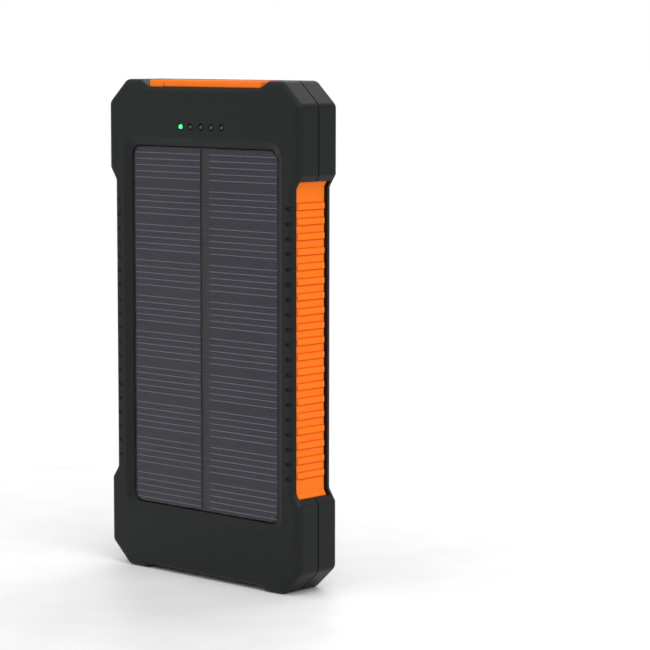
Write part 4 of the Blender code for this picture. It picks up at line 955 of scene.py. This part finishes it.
def build_webbing():
    """One woven band, sewn into a closed loop under the slider: round the ring, down, and round the hook."""
    lay = 0.72 * MM
    top = loop_path(3.4 * MM, lay, 10 * MM, math.radians(118))
    low = [Vector((y, -STRAP_LENGTH - z)) for y, z in loop_path(2.55 * MM, lay, 9 * MM, math.radians(115))]
    front = top + low[::-1]
    path = front + [Vector((-y, z)) for y, z in reversed(front[1:-1])]
    path, length = evened(path, 0.15 * MM)
    half_width, half_thick = 8.5 * MM, 0.5 * MM
    columns = 60
    ridge, chevron = 1.05 * MM, 4.25 * MM
    loops = []
    for i, point in enumerate(path):
        along = (path[(i + 1) % len(path)] - path[i - 1]).normalized()
        normal = Vector((along.y, -along.x)) * -1
        gather_top = smooth_step(point.y, -9 * MM, -3.4 * MM)
        gather_low = smooth_step(-point.y, STRAP_LENGTH - 9.5 * MM, STRAP_LENGTH - 3 * MM)
        gathered = max(gather_top, gather_low)
        width = half_width - (half_width - 5 * MM) * gathered
        s = length * i / len(path)
        outer = []
        under = []
        for k in range(columns + 1):
            share = 2 * k / columns - 1
            x = width * share
            cloth_x = half_width * share
            zigzag = abs((cloth_x / chevron + 40) % 2 - 1) * chevron
            twill = abs(math.sin(math.pi * (s + zigzag * 0.45) / ridge)) ** 0.6
            rib = 0.2 * MM * (twill - 0.75) * (1 - abs(share) ** 12)
            pleat = 0.42 * MM * gathered * math.cos(math.pi * 3.5 * share + 1.1)
            selvedge = half_thick * (1 - 0.75 * max(0, abs(share) - 0.93) / 0.07)
            for surface, way in ((outer, 1), (under, -1)):
                place = point + normal * (pleat + way * (selvedge + rib))
                surface.append((x, place.x, place.y))
        loops.append(outer + under[::-1])
    shape = loft(loops, ring=True)
    hung = (0, STRAP_Y, STRAP_TOP_Z)
    obj = piece("woven_strap", shape, "webbing", "strap", "webbing", ["strap_webbing"], 80, hung)


def build_slider():
    """The compass's slider: a flat tube with rounded plan corners and softened edges."""
    half_x, half_z = 11 * MM, 10.5 * MM
    back, front = -2.8 * MM, 3.2 * MM
    body = [
        (8.5, -2.8, 0.6), (11, -2, 0.6), (11, 2.2, 0.5), (10, 3.2, 0.5),
        (-10, 3.2, 0.5), (-11, 2.2, 0.5), (-11, -2, 0.6), (-8.5, -2.8, 0.6),
    ]
    hole = [
        (8.7, -1.6, 0.1), (9, -1.3, 0.1), (9, 1.3, 0.1), (8.7, 1.6, 0.1),
        (-8.7, 1.6, 0.1), (-9, 1.3, 0.1), (-9, -1.3, 0.1), (-8.7, -1.6, 0.1),
    ]
    ends = ((0, 0.45), (0.08, 0.2), (0.22, 0.06), (0.45, 0))
    loops = [at_height(soften(in_mm(body), inset * MM), -half_z + z * MM) for z, inset in ends]
    loops += [at_height(soften(in_mm(body), inset * MM), half_z - z * MM) for z, inset in reversed(ends)]
    loops += [at_height(soften(in_mm(hole)), z) for z in (half_z, -half_z)]
    plan = rectangle(half_x + 0.01 * MM, -half_z - 0.01 * MM, half_z + 0.01 * MM, 2 * MM)
    crop = loft([at_depth(soften(plan, 0, 8), y) for y in (back - 1 * MM, front + 1 * MM)])
    shape = carve(loft(loops, ring=True), keeps=[crop])
    rim = turned(in_mm([(9.3, 3.1), (9.7, 3.1), (9.6, 3.38), (9.35, 3.38)]), 72)
    shape = carve(shape, joins=[rim])
    place = (0, STRAP_Y, SLIDER_Z)
    piece("slider_frame", shape, "black_plastic", "strap", "black_plastic", ["compass_slider"], 35, place)


def bars(count, inner, outer, half, low, high, skip=()):
    """Radial bars round the Y axis."""
    shapes = []
    for i in range(count):
        if i in skip:
            continue
        bar = box((-half, low, inner), (half, high, outer))
        bar.transform(Matrix.Rotation(2 * math.pi * i / count, 4, "Y"))
        shapes.append(bar)
    return gather(shapes)


def build_compass():
    place = (0, CASE_Y, SLIDER_Z)

    def knurl(radius, angle):
        if radius < 8.85 * MM:
            return radius
        return radius - 0.16 * MM * max(0, math.cos(angle * 60)) ** 2

    case = [
        (0, 0), (8.4, 0), (8.75, 0.1), (8.9, 0.35), (8.9, 1.5), (8.84, 1.7), (8.6, 1.95), (8.5, 2),
        (8.42, 1.95), (8.4, 1.8), (8.4, 0.8), (8.3, 0.7), (0, 0.7),
    ]
    shape = turned(in_mm(case), 360, ripple=knurl)
    piece("compass_housing", shape, "black_plastic", "strap", "black_plastic", ["compass_case"], 40, place)

    crown = []
    under = []
    for i in range(13):
        angle = math.pi / 2 * i / 12
        flat = math.sin(angle) ** 0.55
        crown.append((8.1 * math.cos(angle) ** 0.8, 3.9 + 1.4 * flat))
        under.append((7.5 * math.cos(angle) ** 0.8, 3.6 + 1.1 * flat))
    crown[-1] = (0, crown[-1][1])
    under[-1] = (0, under[-1][1])
    profile = [(8.1, 1.0), *crown][::-1] + [(7.5, 1.0), *under]
    turned_piece("compass_window", profile, 96, "clear_dome", "strap", "clear", ["compass_dome"], 60, place)
    band = [(7.46, 2.9), (7.46, 3.5), (7.3, 3.55), (7.24, 3.4), (7.24, 2.9)]
    turned_piece("compass_inner_ring", band, 96, "nickel", "strap", "nickel", (), 40, place)

    pin = [(0, 1.0), (0.9, 1.0), (0.85, 1.12), (0.35, 1.35), (0.2, 1.85), (0.08, 1.92), (0, 1.93)]
    turned_piece("compass_spindle", pin, 32, "brass", "strap", "brass", ["compass_pivot"], 40, place)

    disc = [(0, 2.1), (6.9, 2.1), (7, 2.16), (7, 2.44), (6.9, 2.5), (0, 2.5)]
    card = "compass_card"
    turned_piece("card_disc", disc, 96, "dial_black", card, "compass_green", [card], 40, place)
    face = [(0, 2.46), (5.3, 2.46), (5.3, 2.53), (5.25, 2.55), (0, 2.55)]
    turned_piece("card_face", face, 96, "compass_green", card, "compass_green", (), 40, place)
    low, high = 2.48 * MM, 2.56 * MM
    ticks = bars(36, 5.7 * MM, 6.6 * MM, 0.1 * MM, low, high, (0, 9, 18, 27))
    long_ticks = bars(4, 5.4 * MM, 6.75 * MM, 0.2 * MM, low, high)
    points = []
    for turn in (1, 2, 3):
        kite = in_mm([(0.7, 2.8), (0, 4.6), (-0.7, 2.8), (0, 1.9)])
        shape = loft([at_depth(kite, 2.5 * MM), at_depth(kite, 2.6 * MM)])
        shape.transform(Matrix.Rotation(math.pi / 2 * turn, 4, "Y"))
        points.append(shape)
    rim = turned(in_mm([(6.78, 2.49), (6.9, 2.49), (6.9, 2.56), (6.78, 2.56)]), 96)
    shape = gather([ticks, long_ticks, *points, rim])
    piece("card_marks", shape, "dial_white", card, "compass_green", (), 30, place)
    north = in_mm([(1.1, 2.4), (0, 5.2), (-1.1, 2.4), (0, 3)])
    shape = loft([at_depth(north, 2.5 * MM), at_depth(north, 2.64 * MM)])
    piece("card_north", shape, "dial_red", card, "compass_green", (), 30, place)
    jewel = [(0, 2.5), (1.5, 2.5), (1.45, 2.62), (0.95, 2.75), (0.62, 3.1), (0.35, 3.28), (0, 3.3)]
    turned_piece("card_jewel", jewel, 48, "brass", card, "brass", (), 40, place)
    trim = [(8.16, 1.0), (8.16, 2.5), (8.24, 2.6), (8.34, 2.5), (8.37, 2.2), (8.37, 1.0)]
    turned_piece("compass_trim", trim, 96, "nickel", "strap", "nickel", (), 40, place)
    marks = bars(60, 8.46 * MM, 8.86 * MM, 0.14 * MM, 1.6 * MM, 2.01 * MM)
    piece("housing_marks", marks, "dial_white", "strap", "black_plastic", (), 30, place)


# Carabiner

def arc(centre, radius, start, end, steps):
    points = []
    for i in range(steps + 1):
        angle = math.radians(start + (end - start) * i / steps)
        points.append((centre[0] + radius * math.cos(angle), centre[1] + radius * math.sin(angle)))
    return points


def wire(path, radii, sides=28):
    """A round wire along a flat path in X and Z."""
    loops = []
    for i, (x, z) in enumerate(path):
        before = Vector(path[max(i - 1, 0)])
        after = Vector(path[min(i + 1, len(path) - 1)])
        along = (after - before).normalized()
        loop = []
        for k in range(sides):
            angle = 2 * math.pi * k / sides
            reach = radii[i] * math.cos(angle)
            loop.append((x + along.y * reach, radii[i] * math.sin(angle), z - along.x * reach))
        loops.append(loop)
    return loft(loops)


def build_carabiner():
    radius, bar, drop = 1.6 * MM, 5.5 * MM, 27 * MM
    corner = CARABINER_HALF - bar
    nose, end = -drop + 1.2 * MM, -PIN_DROP + 2.4 * MM
    tip = 0.3 * MM
    path = [(CARABINER_HALF, end), (CARABINER_HALF, end + tip)]
    path += arc((bar, -corner), corner, 0, 90, 12) + arc((-bar, -corner), corner, 90, 180, 12)
    path += arc((0, -drop), CARABINER_HALF, 180, 360, 48)
    path += [(CARABINER_HALF, nose - tip), (CARABINER_HALF, nose)]
    radii = [radius - tip] + [radius] * (len(path) - 2) + [radius - tip]
    half = 0.5 * MM
    reach = 1.15 * MM
    low = (CARABINER_HALF - reach, -half, -PIN_DROP - 1 * MM)
    tongue = box(low, (CARABINER_HALF + reach, half, end + 0.6 * MM))
    hole = moved(cylinder(0.65 * MM, -3 * MM, 3 * MM, 24), CARABINER_HALF, 0, -PIN_DROP)
    shape = carve(wire(path, radii), [tongue], [hole])
    hung = (0, STRAP_Y, STRAP_LOW_Z)
    piece("carabiner_wire", shape, "gloss_black", "carabiner", "gloss_black", ["carabiner_body"], 40, hung)

    low = nose + PIN_DROP + GAP
    high = end + PIN_DROP - 0.5 * MM
    profile = [(0, low), (1.2 * MM, low), (1.5 * MM, low + 0.1 * MM), (radius, low + 0.35 * MM)]
    profile += [(radius, high - 0.35 * MM), (1.5 * MM, high - 0.1 * MM), (1.2 * MM, high), (0, high)]
    slot = box((-2 * MM, -0.75 * MM, -2.2 * MM), (2 * MM, 0.75 * MM, high + 1 * MM))
    bore = cylinder(0.95 * MM, -11.2 * MM, -1.5 * MM, 24, "Z")
    pin_hole = cylinder(0.65 * MM, -3 * MM, 3 * MM, 24)
    shape = carve(turned(profile, 48, "Z"), cuts=[slot, bore, pin_hole])
    place = (CARABINER_HALF, STRAP_Y, STRAP_LOW_Z - PIN_DROP)
    piece("gate_sleeve", shape, "nickel", "gate", "nickel", ["carabiner_gate"], 40, place)
    rivet = [(0, -1.86), (0.5, -1.84), (0.75, -1.76), (0.8, -1.66), (0.45, -1.6)]
    rivet += [(radius_, -y) for radius_, y in reversed(rivet)]
    turned_piece("gate_rivet", rivet, 32, "nickel", "carabiner", "nickel", ["gate_pin"], 40, place)


# Frame nodes that stay

def finish_nodes():
    """Gives each frame node that still shows its material, with softened edges."""
    finishes = {
        "panel_black": ["panel_board"],
        "clear": ["panel_film"],
        "solar_cell": ["solar_cells_left", "solar_cells_right"],
        "nickel": ["usb_socket_left", "usb_socket_right", "micro_usb_socket", "button_switch", "gate_spring"],
        "white_plastic": ["usb_tongue_left", "usb_tongue_right"],
        "black_plastic": ["micro_usb_tongue", "charge_chip"],
        "circuit_green": ["main_board"],
        "ferrite": ["boost_inductor"],
        "battery_foil": ["battery_cell_front", "battery_cell_back"],
        "foam": ["battery_foam"],
        "lead_red": ["battery_lead_red"],
        "lead_black": ["battery_lead_black"],
        "board_white": ["lamp_board"],
        "led_yellow": [f"lamp_led_{i + 1}" for i in range(6)],
        "black_steel": [f"case_screw_{i + 1}" for i in range(4)],
    }
    softened = ("usb_", "micro_", "button_switch", "charge_chip", "main_board", "battery_cell", "lamp_")
    for finish, names in finishes.items():
        for name in names:
            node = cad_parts[name]
            node.data.materials.clear()
            node.data.materials.append(MATS[finish])
            if name.startswith(softened):
                bevel = node.modifiers.new("edges", "BEVEL")
                bevel.width = 0.08 * MM
                bevel.segments = 2
                bevel.limit_method = "ANGLE"
                node.modifiers.new("normals", "WEIGHTED_NORMAL").keep_sharp = True


# Studio

def add_sun(name, toward, strength, spread):
    """A far, soft light, which shines from the given direction."""
    data = bpy.data.lights.new(name, "SUN")
    data.energy = strength
    data.angle = math.radians(spread)
    linked(name, data).rotation_euler = Vector(toward).to_track_quat("Z", "Y").to_euler()


def build_studio():
    floor_paint = moulded("floor", (0.86, 0.86, 0.86), 0.45, 0.002, 0.04, 0.3)
    half_metres = 40
    bm = bmesh.new()
    bmesh.ops.create_grid(bm, x_segments=1, y_segments=1, size=half_metres)
    mesh = as_mesh(bm, "floor")
    mesh.materials.append(floor_paint.mat)
    floor = linked("floor", mesh)
    add_sun("key", (1.0, -0.35, 1.1), 1.8, 50)
    add_sun("fill", (-0.5, -1.0, 1.0), 0.85, 70)
    add_sun("back", (-0.35, 1.0, 1.0), 1.1, 60)
    world = bpy.data.worlds.new("studio")
    bpy.context.scene.world = world
    world.use_nodes = True
    tree = world.node_tree
    sky = tree.nodes["Background"]
    sky.inputs["Color"].default_value = (1, 1, 1, 1)
    seen = add_node(tree, "LightPath")
    as_light, to_camera = 0.45, 1.0
    strength = add_node(tree, "MapRange", To_Min=as_light, To_Max=to_camera)
    tree.links.new(seen.outputs["Is Camera Ray"], strength.inputs["Value"])
    tree.links.new(strength.outputs["Result"], sky.inputs["Strength"])
    bpy.context.scene.view_settings.view_transform = "Standard"


build_shells()
build_grips()
build_cover()
build_button()
build_fingers()
build_lamp()
build_indicators()
build_contacts()
build_ring()
build_webbing()
build_slider()
build_compass()
build_carabiner()
finish_nodes()
build_studio()
